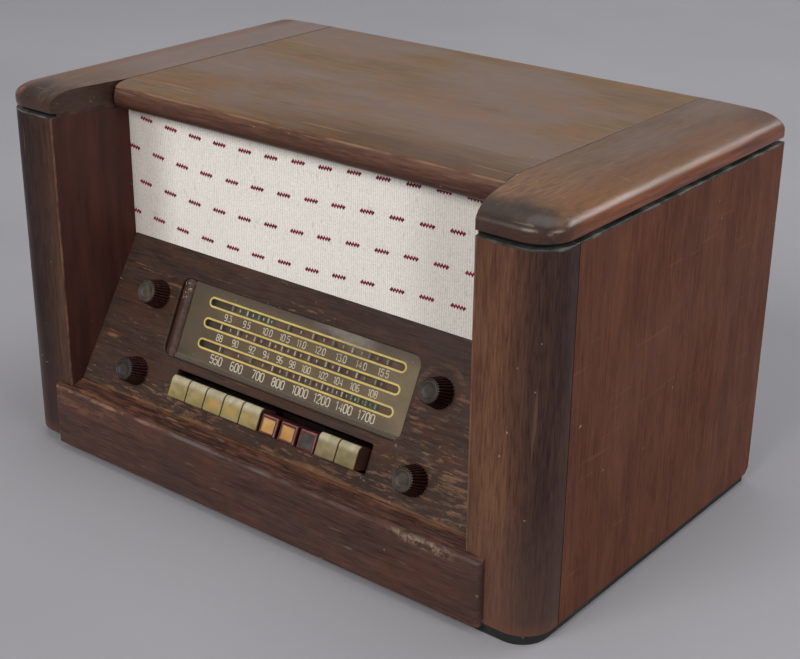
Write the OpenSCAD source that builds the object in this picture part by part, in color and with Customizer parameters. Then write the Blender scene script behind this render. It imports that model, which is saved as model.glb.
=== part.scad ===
// Table radio receiver in a wooden cabinet, sizes in millimetres.
// X runs left to right seen from the front, Y from front to back, Z up from the floor.
// The origin lies on the floor, in the middle of the whole set's width and depth.

/* [Cabinet] */
// Width over the two side panels
cabinet_w = 520; // [490:1:560]
// Depth from the front of the posts to the back edge
body_d = 314; // [300:1:360]
// Height from the floor to the top surface
cabinet_h = 309.5; // [300:0.5:340]
// Thickness of the base board that the set stands on
base_t = 7.5; // [5:0.5:12]
// Set-back of the base board below the sides and the back
base_inset = 3; // [1:0.5:6]
// Set-back of the base board below the posts
base_front_inset = 1; // [0.5:0.5:4]
// Thickness of a side panel
side_t = 10; // [8:0.5:14]
// Radius of the posts' outer corners, seen from above
corner_r = 25; // [23:1:30]
// Depth of a post, from its front to the seam with the side panel
post_d = 32; // [30:1:40]
// Thickness of a post's cheek beside the recess
cheek_t = 14; // [8:1:20]
// Width of the front recess between the posts' front edges
recess_w = 405; // [380:1:410]
// Width of the recess at the grille cloth
grille_w = 375; // [350:1:378]
// Set-back of the grille cloth from the posts' front
grille_y = 66.5; // [60:0.5:75]
// Chamfer at a side panel's lower back corner
heel_chamfer = 5; // [1:0.5:8]

/* [Top] */
// Thickness of the two end caps and of the centre board
cap_t = 17.8; // [14:0.1:20]
// Height of the shadow ledge below the caps
ledge_h = 3.2; // [2:0.1:6]
// Set-back of the ledge from the cabinet's outer faces
ledge_inset = 5; // [3:0.5:8]
// Inward reach of the ledges below the centre board
ledge_reach = 16; // [10:1:30]
// Width of the caps' rounded upper edge, seen from above
edge_w = 22; // [10:0.5:22.5]
// Height of the caps' rounded upper edge
edge_h = 11.5; // [6:0.5:13.5]
// Radius of the caps' back corners, seen from above
cap_back_r = 3; // [1:0.5:8]
// Set-back of the centre board's nose from the posts' front
nose_y = 51.5; // [48:0.5:56]
// Height of the centre board's nose
nose_h = 21.5; // [20:0.5:28]
// Depth of the nose below the centre board
nose_d = 26; // [20:1:32]
// Width of the centre board's fall above the nose
nose_slope_w = 16.5; // [6:0.5:20]
// Height of the centre board's fall above the nose
nose_fall = 3.5; // [1:0.5:5]
// Radius of the nose's bowed face
nose_front_r = 21; // [20:1:40]
// Lower radius of the nose
nose_bottom_r = 8; // [2:0.5:9]
// Seam on each side of the centre board
top_seam = 0.3; // [0.1:0.1:0.6]

/* [Front rail and sloped panel] */
// Length of the front rail
rail_w = 438; // [420:1:448]
// Distance that the rail stands in front of the posts
rail_proud = 6.5; // [4:0.5:10]
// Height of the rail's lower edge above the floor
rail_lift = 6.5; // [4:0.5:9]
// Height of the rail's front face, at its upper edge
rail_front_z = 57; // [50:0.5:60]
// Radius of the rail's upper front edge
rail_edge_r = 3; // [1:0.5:4]
// Set-back of the sloped panel's foot from the posts' front
panel_foot_y = 9; // [6:0.5:14]
// Height of the sloped panel's foot
panel_foot_z = 64.5; // [62:0.5:70]
// Height of the sloped panel's top edge
panel_top_z = 181; // [176:0.5:190]
// Thickness of the sloped panel
panel_t = 10; // [10:0.5:12]
// Gap between the panel's or rail's ends and the posts
panel_end_gap = 0.2; // [0.1:0.05:0.5]

/* [Dial] */
// Length of the dial opening, end strip included
dial_w = 242; // [236:0.5:250]
// Height of the dial opening along the slope
dial_h = 64.5; // [60:0.5:68]
// Sideways place of the dial opening's middle
dial_x = -0.8; // [-4:0.1:4]
// Distance from the panel's top edge down to the dial opening
dial_drop = 22.3; // [18:0.1:26]
// Corner radius of the dial opening
dial_r = 8; // [3:0.5:12]
// Depth of the glass below the panel's face
glass_depth = 1; // [0.5:0.1:2]
// Thickness of the glass
glass_t = 2; // [1.5:0.1:3]
// Thickness of the printed dial plate
plate_t = 0.8; // [0.5:0.1:1.2]
// Clearance round the glass and the plate
dial_gap = 0.3; // [0.1:0.1:0.6]
// Width of the half-round strip at the dial's left end
strip_w = 11.5; // [8:0.5:14]
// Distance from the dial face's left edge to the windows
window_left = 20.3; // [18:0.1:30]
// Distance from the windows to the dial opening's right edge
window_right = 14.2; // [13:0.1:24]
// Height of each dial window
window_h = 5.6; // [4:0.1:7]
// Distance from the panel's top edge down to the first window
window_drop = 34.5; // [33:0.1:37]
// Distance from one window to the next
window_pitch = 16.8; // [15:0.1:17]
// Depth of the dark plate behind the windows, below the panel's face
backplate_depth = 8.6; // [8:0.1:9]

/* [Pointer and drive] */
// Width of the pointer's needle
needle_w = 1.2; // [0.6:0.1:2]
// Thickness of the needle
needle_t = 0.8; // [0.5:0.1:1]
// Depth of the needle's face below the panel's face
needle_depth = 5.2; // [4.8:0.1:5.6]
// Radius of the rod that the pointer slides on
rod_r = 1.5; // [1:0.1:2]
// Depth of the rod's axis below the panel's face
rod_depth = 16; // [15:0.5:20]
// Distance from the panel's top edge down to the rod
rod_drop = 91; // [90:0.5:92]
// Distance from the needle's last place to the windows' right end
pointer_stop = 9.5; // [6:0.5:14]
// Width of the dial drum
drum_w = 8; // [6:0.5:8]
// Radius of the tuning spindle at its cord groove
spindle_r = 6; // [4.5:0.5:7]

/* [Push buttons] */
// Distance from one button to the next
button_pitch = 19.2; // [18.5:0.1:19.4]
// Sideways place of the button row's middle
button_row_x = 2.8; // [-2:0.1:4]
// Width of an ivory button
button_w = 18.6; // [15:0.1:18.8]
// Width of a red button
red_button_w = 16.8; // [14:0.1:17.5]
// Length of an ivory button's face down the slope
button_l = 17.8; // [15:0.1:18]
// Length of a red button's face down the slope
red_button_l = 14.6; // [13:0.1:16]
// Height of a button's face above the panel
button_proud = 12.8; // [9:0.1:15]
// Height of a red button's face above the panel
red_button_proud = 12; // [8:0.1:15]
// Distance from the panel's top edge down to the buttons
button_drop = 97; // [96:0.1:98]
// Length of a button's upper bevel down the slope
button_bevel = 5; // [2:0.1:7]
// Fall of the bevel to the button's upper edge
button_bevel_fall = 3; // [1:0.1:5]
// Travel of a button when pressed
button_travel = 7; // [4:0.5:7]
// Length of the slot that the buttons stand in
slot_w = 201; // [197:0.5:208]
// Height of the slot along the slope
slot_h = 22.6; // [21.5:0.1:23.5]
// Distance from the panel's top edge down to the slot
slot_drop = 93.8; // [93:0.1:94.5]

/* [Knobs and controls] */
// Sideways distance of the knobs from the dial opening's ends
knob_apart = 21.8; // [19:0.1:28]
// Distance from the panel's top edge down to the upper knobs
knob_top_drop = 42.5; // [38:0.5:48]
// Distance from the panel's top edge down to the lower knobs
knob_low_drop = 107.3; // [100:0.1:110]
// Radius of a knob at its foot
knob_r = 12; // [10:0.1:14]
// Radius of a knob's face
knob_face_r = 9.4; // [8:0.1:11]
// Height of a knob's face above the panel
knob_h = 16; // [13:0.5:20]
// Gap between a knob and the panel
knob_gap = 0.8; // [0.4:0.1:1.5]
// Number of flutes round a knob
knob_flutes = 28; // [16:1:32]
// Radius of a control shaft
shaft_r = 3; // [2.5:0.1:3.2]
// Radius of a control's threaded bush
bush_r = 4.75; // [4.5:0.05:5]
// Running clearance of a shaft in its bush, on the radius
run_gap = 0.05; // [0.02:0.01:0.08]
// Clearance of a bush in the panel, on the radius
bush_gap = 0.25; // [0.1:0.05:0.5]
// Radius of a potentiometer's can
pot_r = 12; // [10:0.5:14]
// Depth of a potentiometer's can
pot_d = 11; // [8:0.5:16]

/* [Speaker and grille] */
// Thickness of the grille cloth
cloth_t = 0.8; // [0.5:0.1:1.2]
// Thickness of the board behind the cloth
grille_board_t = 10; // [8:0.5:12]
// Height of the grille board's lower edge
grille_board_z = 150; // [146:1:154]
// Overlap of the grille board behind each post
grille_lap = 9; // [6:0.5:12]
// Gap between the speaker's rim and the grille board's upper and lower edges
speaker_margin = 3; // [1:0.5:8]
// Lap of the speaker's rim over the hole in the grille board
speaker_lap = 8; // [6:0.5:14]
// Depth of the speaker's basket
basket_d = 40; // [34:1:46]
// Radius of the speaker's magnet
magnet_r = 30; // [22:1:34]
// Depth of the speaker's magnet
magnet_d = 28; // [20:1:34]

/* [Chassis] */
// Width of the chassis
chassis_w = 350; // [330:2:380]
// Depth of the chassis
chassis_d = 176; // [160:2:180]
// Height of the chassis
chassis_h = 54; // [45:1:56]
// Sheet thickness of the chassis
chassis_t = 1.6; // [1.2:0.1:2]
// Gap between the chassis and the back cleats
chassis_back_gap = 6; // [2:0.5:10]
// Radius of a valve's glass bulb
valve_r = 15; // [12:0.5:18]
// Height of a valve
valve_h = 84; // [60:1:95]
// Width of a shield can
can_w = 34; // [28:1:38]
// Height of a shield can
can_h = 78; // [60:1:95]
// Radius of the tuning capacitor's vanes
vane_r = 24; // [18:0.5:24]
// Thickness of one vane
vane_t = 0.8; // [0.6:0.1:1]
// Number of moving vanes in each section
vane_count = 8; // [4:1:10]

/* [Back] */
// Thickness of the back cover
back_t = 4; // [3:0.5:6]
// Set-back of the back cover's outer face from the back edge
back_inset = 6; // [4:0.5:12]
// Margin between the loop aerial and the side panels' upper edge
loop_margin = 19; // [10:1:30]
// Gap round the back cover
back_gap = 0.6; // [0.3:0.1:1.5]
// Side of the square cleats that carry the back cover
cleat_w = 12; // [10:1:16]
// Bore radius of the cord grommet
grommet_bore_r = 3.5; // [2.5:0.1:4.5]
// Sideways place of the cord grommet
grommet_x = 150; // [120:1:180]
// Height of the cord grommet
grommet_z = 44; // [30:1:60]

/* [Hidden] */

// Round walls of plain holes and shells
$fn = 64;
// Straight steps in a quarter of a drawn corner
corner_steps = 8;
// Extra length of a cutter past the face that it opens
cut = 1;

half_w = cabinet_w / 2;
front_y = (rail_proud - body_d) / 2;
post_top_z = cabinet_h - cap_t - ledge_h;
cap_z = cabinet_h - cap_t;
recess_x = recess_w / 2;
grille_x = grille_w / 2;
inner_x = half_w - side_t;

panel_tilt = atan((grille_y - panel_foot_y) / (panel_top_z - panel_foot_z));
panel_back_y = panel_foot_y + panel_t * cos(panel_tilt);
panel_back_z = panel_foot_z - panel_t * sin(panel_tilt);
panel_heel_z = panel_back_z + (grille_y - panel_back_y) / tan(panel_tilt);

cloth_y = grille_y;
board_y = cloth_y + cloth_t;
speaker_y = board_y + grille_board_t;
nose_z = cabinet_h - nose_h;
speaker_z = (grille_board_z + nose_z) / 2;
speaker_r = (nose_z - grille_board_z) / 2 - speaker_margin;

back_y = body_d - back_inset - back_t;
cleat_y = back_y - cleat_w;
chassis_y = cleat_y - chassis_back_gap - chassis_d;
deck_z = base_t + chassis_h;
// Gap below the capacitor's vanes, and the sideways place of its shaft
gang_lift = 6;
gang_x = 20;
gang_z = deck_z + vane_r + gang_lift;
// Gap between the dial drum and the chassis
drum_gap = 4;
drum_y = chassis_y - drum_w - drum_gap;

dial_face_x = dial_x - dial_w / 2 + strip_w;
dial_right_x = dial_x + dial_w / 2;
window_w = dial_right_x - dial_face_x - window_left - window_right;
window_x = dial_face_x + window_left + window_w / 2;
knob_x = dial_w / 2 + knob_apart;
// Place of the resting needle, hidden left of the windows
pointer_hide = 2;
pointer_rest_x = window_x - window_w / 2 - pointer_hide;
pointer_travel = window_w + pointer_hide - pointer_stop;
// Half a turn of the drum carries the cord over the needle's whole travel
drum_r = pointer_travel / PI;

// Points on an arc about a centre, from one angle to another
function arc(cx, cy, r, a0, a1, n = corner_steps) =
    [for (i = [0:n]) let (a = a0 + (a1 - a0) * i / n) [cx + r * cos(a), cy + r * sin(a)]];

// Half width of the recess at a distance behind the posts' front
function recess_at(y) = recess_x - (recess_x - grille_x) * y / grille_y;

// Outline of a rectangle with round corners, centred on the origin
function round_rect(w, h, r) = concat(
    arc(w / 2 - r, h / 2 - r, r, 0, 90),
    arc(r - w / 2, h / 2 - r, r, 90, 180),
    arc(r - w / 2, r - h / 2, r, 180, 270),
    arc(w / 2 - r, r - h / 2, r, 270, 360)
);

// Moves cabinet places, counted from the posts' front, to the set's own origin
module placed() {
    translate([0, front_y, 0]) children();
}

// Draws a copy on each side of the middle
module both_sides() {
    children();
    mirror([1, 0, 0]) children();
}

// Extrudes an outline drawn in depth and height along the width
module across(length) {
    rotate([90, 0, 90]) linear_extrude(length, center = true) children();
}

// Local frame of the sloped panel: x to the right, y up the slope, z out of its face
module on_panel() {
    translate([0, grille_y, panel_top_z]) rotate([90 - panel_tilt, 0, 0]) children();
}

// Local frame of a control at a sideways place and a distance down the slope
module at_control(x, drop) {
    placed() on_panel() translate([x, -drop, 0]) children();
}

// Wooden case

module post_solid() {
    web = 4;
    outline = concat(
        [[recess_x, 0]],
        arc(half_w - corner_r, corner_r, corner_r, -90, 0),
        [
            [half_w, post_d],
            [inner_x - web, post_d],
            [recess_x + cheek_t / 2, post_d + web],
            [grille_x + cheek_t, grille_y],
            [grille_x, grille_y]
        ]
    );
    translate([0, 0, base_t]) linear_extrude(post_top_z - base_t) polygon(outline);
}

module right_post() {
    color("#4a2d24") placed() post_solid();
}

module left_post() {
    color("#4a2d24") placed() mirror([1, 0, 0]) post_solid();
}

// Side panel, with its lower back corner cut off
module side_solid() {
    outline = [
        [post_d, base_t],
        [body_d - heel_chamfer, base_t],
        [body_d, base_t + heel_chamfer],
        [body_d, post_top_z],
        [post_d, post_top_z]
    ];
    translate([half_w - side_t / 2, 0, 0]) across(side_t) polygon(outline);
}

module right_side_panel() {
    color("#54362a") placed() side_solid();
}

module left_side_panel() {
    color("#54362a") placed() mirror([1, 0, 0]) side_solid();
}

// Outline of a cap drawn in from its front and outer side
function cap_outline(inset) = concat(
    [[recess_at(inset), inset]],
    arc(half_w - corner_r, corner_r, corner_r - inset, -90, 0),
    arc(half_w - inset - cap_back_r, body_d - cap_back_r, cap_back_r, 0, 90),
    [[grille_x, body_d], [grille_x, grille_y]]
);

// Ring of a cap's surface at a height, drawn in by the rounding there
function cap_ring(inset, z) = [for (p = cap_outline(inset)) [p[0], p[1], z]];

// Cap with a round upper edge, built up ring by ring from its lower face
module cap_solid() {
    steps = 7;
    rings = concat(
        [cap_ring(0, cap_z)],
        [for (i = [0:steps]) let (a = 90 * i / steps)
            cap_ring(edge_w * (1 - cos(a)), cabinet_h - edge_h * (1 - sin(a)))]
    );
    n = len(rings[0]);
    last = len(rings) - 1;
    sides = [for (k = [0:last - 1], i = [0:n - 1]) let (j = (i + 1) % n)
        each [
            [k * n + i, (k + 1) * n + i, (k + 1) * n + j],
            [k * n + i, (k + 1) * n + j, k * n + j]
        ]];
    lower = [for (i = [0:n - 1]) i];
    upper = [for (i = [n - 1:-1:0]) last * n + i];
    polyhedron(points = [for (r = rings) each r], faces = concat([lower, upper], sides));
}

module right_cap() {
    color("#6a5140") placed() cap_solid();
}

module left_cap() {
    color("#6a5140") placed() mirror([1, 0, 0]) cap_solid();
}

// Set-back ledges below the caps, which also carry the centre board
module cap_ledges() {
    nose_gap = 2;
    reach_x = grille_x - ledge_reach;
    reach_y = nose_y + nose_d + nose_gap;
    back_x = half_w - ledge_inset - cap_back_r;
    back = body_d - ledge_inset;
    outline = concat(
        [[recess_at(ledge_inset), ledge_inset]],
        arc(half_w - corner_r, corner_r, corner_r - ledge_inset, -90, 0),
        arc(back_x, back - cap_back_r, cap_back_r, 0, 90),
        [
            [reach_x, back],
            [reach_x, reach_y],
            [grille_x, reach_y],
            [grille_x, grille_y]
        ]
    );
    color("#2b2e2b") placed() both_sides()
        translate([0, 0, post_top_z]) linear_extrude(ledge_h) polygon(outline);
}

// Centre board of the top, falling a little to the bowed nose above the grille
module top_panel() {
    middle_z = nose_z + nose_bottom_r;
    bow = asin((cabinet_h - nose_fall - middle_z) / nose_front_r);
    outline = concat(
        [[nose_y + nose_slope_w, cabinet_h]],
        arc(nose_y + nose_front_r, middle_z, nose_front_r, 180 - bow, 180),
        arc(nose_y + nose_bottom_r, middle_z, nose_bottom_r, 180, 270),
        [
            [nose_y + nose_d, nose_z],
            [nose_y + nose_d, cap_z],
            [body_d, cap_z],
            [body_d, cabinet_h]
        ]
    );
    color("#6a5140") placed() across(2 * (grille_x - top_seam)) polygon(outline);
}

// Plan of the space between the posts' cheeks, from one depth to another
module between_posts(y0, y1) {
    polygon([
        [-recess_at(y0) + panel_end_gap, y0],
        [recess_at(y0) - panel_end_gap, y0],
        [recess_at(y1) - panel_end_gap, y1],
        [-recess_at(y1) + panel_end_gap, y1]
    ]);
}

// Front rail: a plate in front of the posts and a block between them
module front_rail() {
    bevel = atan((panel_foot_z - rail_front_z) / (panel_foot_y + rail_proud));
    round_drop = rail_edge_r * tan((90 - bevel) / 2);
    round_y = -rail_proud + rail_edge_r;
    outline = concat(
        [[-rail_proud, rail_lift]],
        arc(round_y, rail_front_z - round_drop, rail_edge_r, 180, 90 + bevel),
        [
            [panel_foot_y, panel_foot_z],
            [panel_back_y, panel_back_z],
            [panel_back_y, base_t],
            [0, base_t],
            [0, rail_lift]
        ]
    );
    color("#4c342c") placed() {
        intersection() {
            across(rail_w) polygon(outline);
            translate([-half_w, -rail_proud - cut, 0]) cube([cabinet_w, rail_proud + cut, cabinet_h]);
        }
        intersection() {
            across(recess_w) polygon(outline);
            linear_extrude(cabinet_h) between_posts(0, grille_y);
        }
    }
}

// Sloped panel with the dial opening, the button slot and the four bush holes
module control_panel() {
    outline = [
        [grille_y, panel_top_z],
        [panel_foot_y, panel_foot_z],
        [panel_back_y, panel_back_z],
        [grille_y, panel_heel_z]
    ];
    color("#372922") placed() difference() {
        intersection() {
            across(recess_w) polygon(outline);
            linear_extrude(cabinet_h) between_posts(0, grille_y);
        }
        on_panel() translate([0, 0, -panel_t - cut]) {
            translate([dial_x, -dial_drop - dial_h / 2, 0])
                linear_extrude(panel_t + 2 * cut) polygon(round_rect(dial_w, dial_h, dial_r));
            translate([-slot_w / 2, -slot_drop - slot_h, 0]) cube([slot_w, slot_h, panel_t + 2 * cut]);
            for (x = [-knob_x, knob_x], drop = [knob_top_drop, knob_low_drop])
                translate([x, -drop, 0]) cylinder(h = panel_t + 2 * cut, r = bush_r + bush_gap);
        }
    }
}

// Board behind the cloth, with the speaker's hole
module grille_board() {
    half = grille_x + grille_lap;
    color("#7a5c40") placed() difference() {
        translate([-half, board_y, grille_board_z])
            cube([2 * half, grille_board_t, nose_z - grille_board_z]);
        translate([0, board_y - cut, speaker_z]) rotate([-90, 0, 0])
            cylinder(h = grille_board_t + 2 * cut, r = speaker_r - speaker_lap);
    }
}

// Cloth held between the posts and the grille board
module grille_cloth() {
    half = grille_x + grille_lap;
    color("#d9d4c8") placed()
        translate([-half, cloth_y, grille_board_z]) cube([2 * half, cloth_t, nose_z - grille_board_z]);
}

// Base board below the case, set in from its edges
module base_board() {
    side_x = half_w - base_inset;
    r = corner_r - base_inset;
    back = body_d - base_inset;
    outline = concat(
        arc(r - side_x, base_front_inset + r, r, 180, 270),
        arc(side_x - r, base_front_inset + r, r, 270, 360),
        [[side_x, back], [-side_x, back]]
    );
    color("#1d1e1c") placed() linear_extrude(base_t) polygon(outline);
}

// Back of the set

module back_cleats() {
    color("#7a5c40") placed() both_sides() difference() {
        translate([inner_x - cleat_w, cleat_y, base_t]) cube([cleat_w, cleat_w, post_top_z - base_t]);
        for (z = screw_heights())
            translate([screw_x(), back_y + cut, z]) rotate([90, 0, 0])
                cylinder(h = screw_l, r = screw_r + screw_gap);
    }
}

// Fibreboard cover with ventilation slots and the grommet's hole
module back_cover() {
    slot_wide = 6;
    slot_high = 34;
    slot_pitch = 18;
    slot_margin = 56;
    vent_low = 110;
    vent_top_margin = 44;
    vent_high = post_top_z - vent_top_margin;
    half = inner_x - back_gap;
    low_z = base_t + back_gap;
    slot_count = floor(2 * (half - slot_margin) / slot_pitch);
    color("#5c4630") placed() difference() {
        translate([-half, back_y, low_z]) cube([2 * half, back_t, post_top_z - back_gap - low_z]);
        for (z = [vent_low, (vent_low + vent_high) / 2, vent_high], i = [0:slot_count - 1])
            translate([(i - (slot_count - 1) / 2) * slot_pitch, back_y + back_t / 2, z])
                cube([slot_wide, back_t + 2 * cut, slot_high], center = true);
        translate([grommet_x, back_y - cut, grommet_z]) rotate([-90, 0, 0])
            cylinder(h = back_t + 2 * cut, r = grommet_bore_r + grommet_wall + screw_gap);
        for (x = [-1, 1], z = screw_heights())
            translate([x * screw_x(), back_y - cut, z]) rotate([-90, 0, 0])
                cylinder(h = back_t + 2 * cut, r = screw_r + screw_gap);
    }
}

grommet_wall = 2.5;
screw_r = 1.8;
screw_l = 12;
screw_gap = 0.1;
screw_inset = 25;
function screw_x() = inner_x - cleat_w / 2;
function screw_heights() = [base_t + screw_inset, (base_t + post_top_z) / 2, post_top_z - screw_inset];

// Round-headed screws that hold the back cover to its cleats
module back_cover_screws() {
    head_r = 3.6;
    head_top_r = 2.5;
    head_h = 2;
    slot_wide = 1;
    slot_deep = 0.9;
    color("#9a8a5c") placed() both_sides() for (z = screw_heights())
        translate([screw_x(), back_y + back_t, z]) rotate([-90, 0, 0]) difference() {
            union() {
                cylinder(h = head_h, r1 = head_r, r2 = head_top_r);
                translate([0, 0, -screw_l]) cylinder(h = screw_l, r = screw_r);
            }
            translate([0, 0, head_h]) cube([2 * head_r, slot_wide, 2 * slot_deep], center = true);
        }
}

// Grommet that lines the cord's hole in the back cover
module cord_grommet() {
    neck_r = grommet_bore_r + grommet_wall;
    lip_r = neck_r + grommet_wall;
    lip_t = 2;
    color("#201e1c") placed() translate([grommet_x, back_y + back_t / 2, grommet_z]) rotate([-90, 0, 0])
        difference() {
            union() {
                translate([0, 0, -back_t / 2]) cylinder(h = back_t, r = neck_r);
                translate([0, 0, back_t / 2]) cylinder(h = lip_t, r = lip_r);
                translate([0, 0, -back_t / 2 - lip_t]) cylinder(h = lip_t, r = lip_r);
            }
            translate([0, 0, -back_t / 2 - lip_t - cut])
                cylinder(h = back_t + 2 * lip_t + 2 * cut, r = grommet_bore_r);
        }
}

// Dial

// Outline of the dial's face right of the end strip, drawn in from the opening's edge
module dial_face_outline(left, gap) {
    top = -dial_drop - gap;
    bottom = -dial_drop - dial_h + gap;
    right = dial_right_x - gap;
    r = dial_r - gap;
    polygon(concat(
        [[left, top], [left, bottom]],
        arc(right - r, bottom + r, r, -90, 0),
        arc(right - r, top - r, r, 0, 90)
    ));
}

glass_rest = 0.2;
plate_depth = glass_depth + glass_t + glass_rest;
rim_depth = plate_depth + plate_t;
rim_w = 3;

module dial_glass() {
    color("#8a8570", 0.5) placed() on_panel() translate([0, 0, -glass_depth - glass_t])
        linear_extrude(glass_t) dial_face_outline(dial_face_x + dial_gap, dial_gap);
}

// Printed plate with a long window for each scale
module dial_plate() {
    color("#6b6647") placed() on_panel() translate([0, 0, -rim_depth]) difference() {
        linear_extrude(plate_t) dial_face_outline(dial_face_x + dial_gap, dial_gap);
        for (i = [0:2])
            translate([window_x, -window_drop - i * window_pitch, -cut]) {
                cube([window_w - window_h, window_h, 2 * (plate_t + 2 * cut)], center = true);
                for (x = [-1, 1])
                    translate([x * (window_w - window_h) / 2, 0, 0])
                        cylinder(h = plate_t + 2 * cut, r = window_h / 2);
            }
    }
}

// Half-round strip at the left end of the dial
module dial_end_strip() {
    half = strip_w / 2 - dial_gap / 2;
    rise = rim_depth - 0.5;
    curve_r = (half * half + rise * rise) / (2 * rise);
    length = dial_h - 2 * dial_gap;
    left = dial_x - dial_w / 2 + dial_gap;
    color("#3a2a20") placed() on_panel()
        translate([left + half, -dial_drop - dial_h / 2, -rim_depth]) intersection() {
            translate([0, 0, rise - curve_r]) rotate([90, 0, 0])
                cylinder(h = length, r = curve_r, center = true);
            translate([0, 0, rise / 2]) cube([2 * half, length, rise], center = true);
            linear_extrude(rise) translate([dial_w / 2 - half - dial_gap, 0])
                polygon(round_rect(dial_w - 2 * dial_gap, length, dial_r - dial_gap));
        }
}

strap_t = 1.6;
lamp_r = 4;
lamp_hole_r = lamp_r + 0.6;
lamp_holder_r = 6.5;
lamp_holder_h = 12;
lamp_holder_floor = 2;
lamp_gap = 0.1;
lamp_foot = panel_t + strap_t + lamp_holder_h - lamp_holder_floor;
function lamp_x() = [dial_face_x + rim_w + lamp_hole_r + 1, dial_right_x - rim_w - lamp_hole_r - 1.5];

// Dark tray behind the dial, with a rim that the plate lies on
module dial_backplate() {
    strap_reach = 4;
    strap_h = 30;
    slot_wide = 4;
    slot_end = 3;
    middle_y = -dial_drop - dial_h / 2;
    color("#141412") placed() on_panel() difference() {
        union() {
            translate([dial_x, middle_y, -panel_t]) linear_extrude(panel_t - rim_depth)
                polygon(round_rect(dial_w - 2 * dial_gap, dial_h - 2 * dial_gap, dial_r - dial_gap));
            translate([dial_x - dial_w / 2 - strap_reach, middle_y - strap_h / 2, -panel_t - strap_t])
                cube([dial_w + 2 * strap_reach, strap_h, strap_t]);
        }
        translate([0, 0, -backplate_depth]) linear_extrude(panel_t)
            dial_face_outline(dial_face_x + rim_w, dial_gap + rim_w);
        translate([pointer_rest_x - slot_end, pointer_slot_y() - slot_wide / 2, -panel_t - cut])
            cube([pointer_travel + 2 * slot_end, slot_wide, panel_t]);
        for (x = lamp_x())
            translate([x, middle_y, -panel_t - strap_t - cut]) cylinder(h = panel_t, r = lamp_hole_r);
    }
}

function pointer_slot_y() = -dial_drop - dial_h + dial_gap + rim_w + 2.5;

// Needle behind the windows, with the arm and the runner that slides on the rod
module dial_pointer() {
    runner_w = 10;
    runner_r = rod_r + 1.5;
    arm_t = 1.2;
    needle_top = -dial_drop - dial_gap - rim_w - 1;
    color("#c8a878") placed() on_panel() translate([pointer_rest_x, 0, 0]) difference() {
        union() {
            translate([-needle_w / 2, pointer_slot_y() - arm_t, -needle_depth - needle_t])
                cube([needle_w, needle_top - pointer_slot_y() + arm_t, needle_t]);
            translate([-needle_w, pointer_slot_y() - arm_t, -rod_depth])
                cube([2 * needle_w, arm_t, rod_depth - needle_depth]);
            translate([-needle_w, -rod_drop, -rod_depth - arm_t / 2])
                cube([2 * needle_w, rod_drop + pointer_slot_y(), arm_t]);
            translate([-runner_w / 2, -rod_drop, -rod_depth]) rotate([0, 90, 0])
                cylinder(h = runner_w, r = runner_r);
        }
        translate([-runner_w / 2 - cut, -rod_drop, -rod_depth]) rotate([0, 90, 0])
            cylinder(h = runner_w + 2 * cut, r = rod_r + run_gap);
    }
}

// Rod that the pointer slides on, between two brackets on the panel's back
module pointer_rail() {
    bracket_t = 4;
    bracket_r = 2.2;
    left = pointer_rest_x - 10;
    right = pointer_rest_x + pointer_travel + 10;
    color("#8c8c88") placed() on_panel() {
        translate([left, -rod_drop, -rod_depth]) rotate([0, 90, 0]) cylinder(h = right - left, r = rod_r);
        for (x = [left - bracket_t, right])
            translate([x, -rod_drop - bracket_r, -rod_depth - bracket_r])
                cube([bracket_t, 2 * bracket_r, rod_depth + bracket_r - panel_t]);
    }
}

// Lamp holders on the tray's back, behind the dial's two end margins
module lamp_holders() {
    color("#a08c5a") placed() on_panel() for (x = lamp_x())
        translate([x, -dial_drop - dial_h / 2, -panel_t - strap_t - lamp_holder_h]) difference() {
            cylinder(h = lamp_holder_h, r = lamp_holder_r);
            translate([0, 0, lamp_holder_floor]) cylinder(h = lamp_holder_h, r = lamp_r + lamp_gap);
        }
}

// Lamps that shine into the tray beside the needle's ends of travel
module dial_lamps() {
    tip_depth = needle_depth + needle_t + 1;
    color("#e8d9a8") placed() on_panel() for (x = lamp_x())
        translate([x, -dial_drop - dial_h / 2, -lamp_foot]) {
            cylinder(h = lamp_foot - tip_depth - lamp_r, r = lamp_r);
            translate([0, 0, lamp_foot - tip_depth - lamp_r]) sphere(r = lamp_r);
        }
}

// Push buttons

plunger_w = 8;
plunger_t = 3;
plunger_foot = 50;
skirt_depth = 6;
button_count = 10;
ivory_count = 5;
red_count = 3;
function is_red(i) = i > ivory_count && i <= ivory_count + red_count;
function button_x(i) = button_row_x + (i - (button_count + 1) / 2) * button_pitch;
function plunger_y() = -button_drop - button_l / 2;

// Button with its bevelled head, its skirt in the slot and its plunger behind
module push_button(i) {
    w = is_red(i) ? red_button_w : button_w;
    l = is_red(i) ? red_button_l : button_l;
    top_h = is_red(i) ? red_button_proud : button_proud;
    top_y = -button_drop - (button_l - l);
    outline = [
        [top_y, -skirt_depth],
        [top_y, top_h - button_bevel_fall],
        [top_y - button_bevel, top_h],
        [top_y - l, top_h],
        [top_y - l, -skirt_depth]
    ];
    translate([button_x(i), 0, 0]) {
        across_slope(w) polygon(outline);
        translate([-plunger_w / 2, plunger_y() - plunger_t / 2, -plunger_foot])
            cube([plunger_w, plunger_t, plunger_foot - skirt_depth]);
    }
}

// Extrudes an outline drawn up the slope and out of the panel along the width
module across_slope(length) {
    rotate([90, 0, 90]) linear_extrude(length, center = true) children();
}

module push_button_1() {
    color("#cfc878") placed() on_panel() push_button(1);
}

module push_button_2() {
    color("#cfc878") placed() on_panel() push_button(2);
}

module push_button_3() {
    color("#cfc878") placed() on_panel() push_button(3);
}

module push_button_4() {
    color("#cfc878") placed() on_panel() push_button(4);
}

module push_button_5() {
    color("#cfc878") placed() on_panel() push_button(5);
}

module push_button_6() {
    color("#7a3020") placed() on_panel() push_button(6);
}

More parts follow.
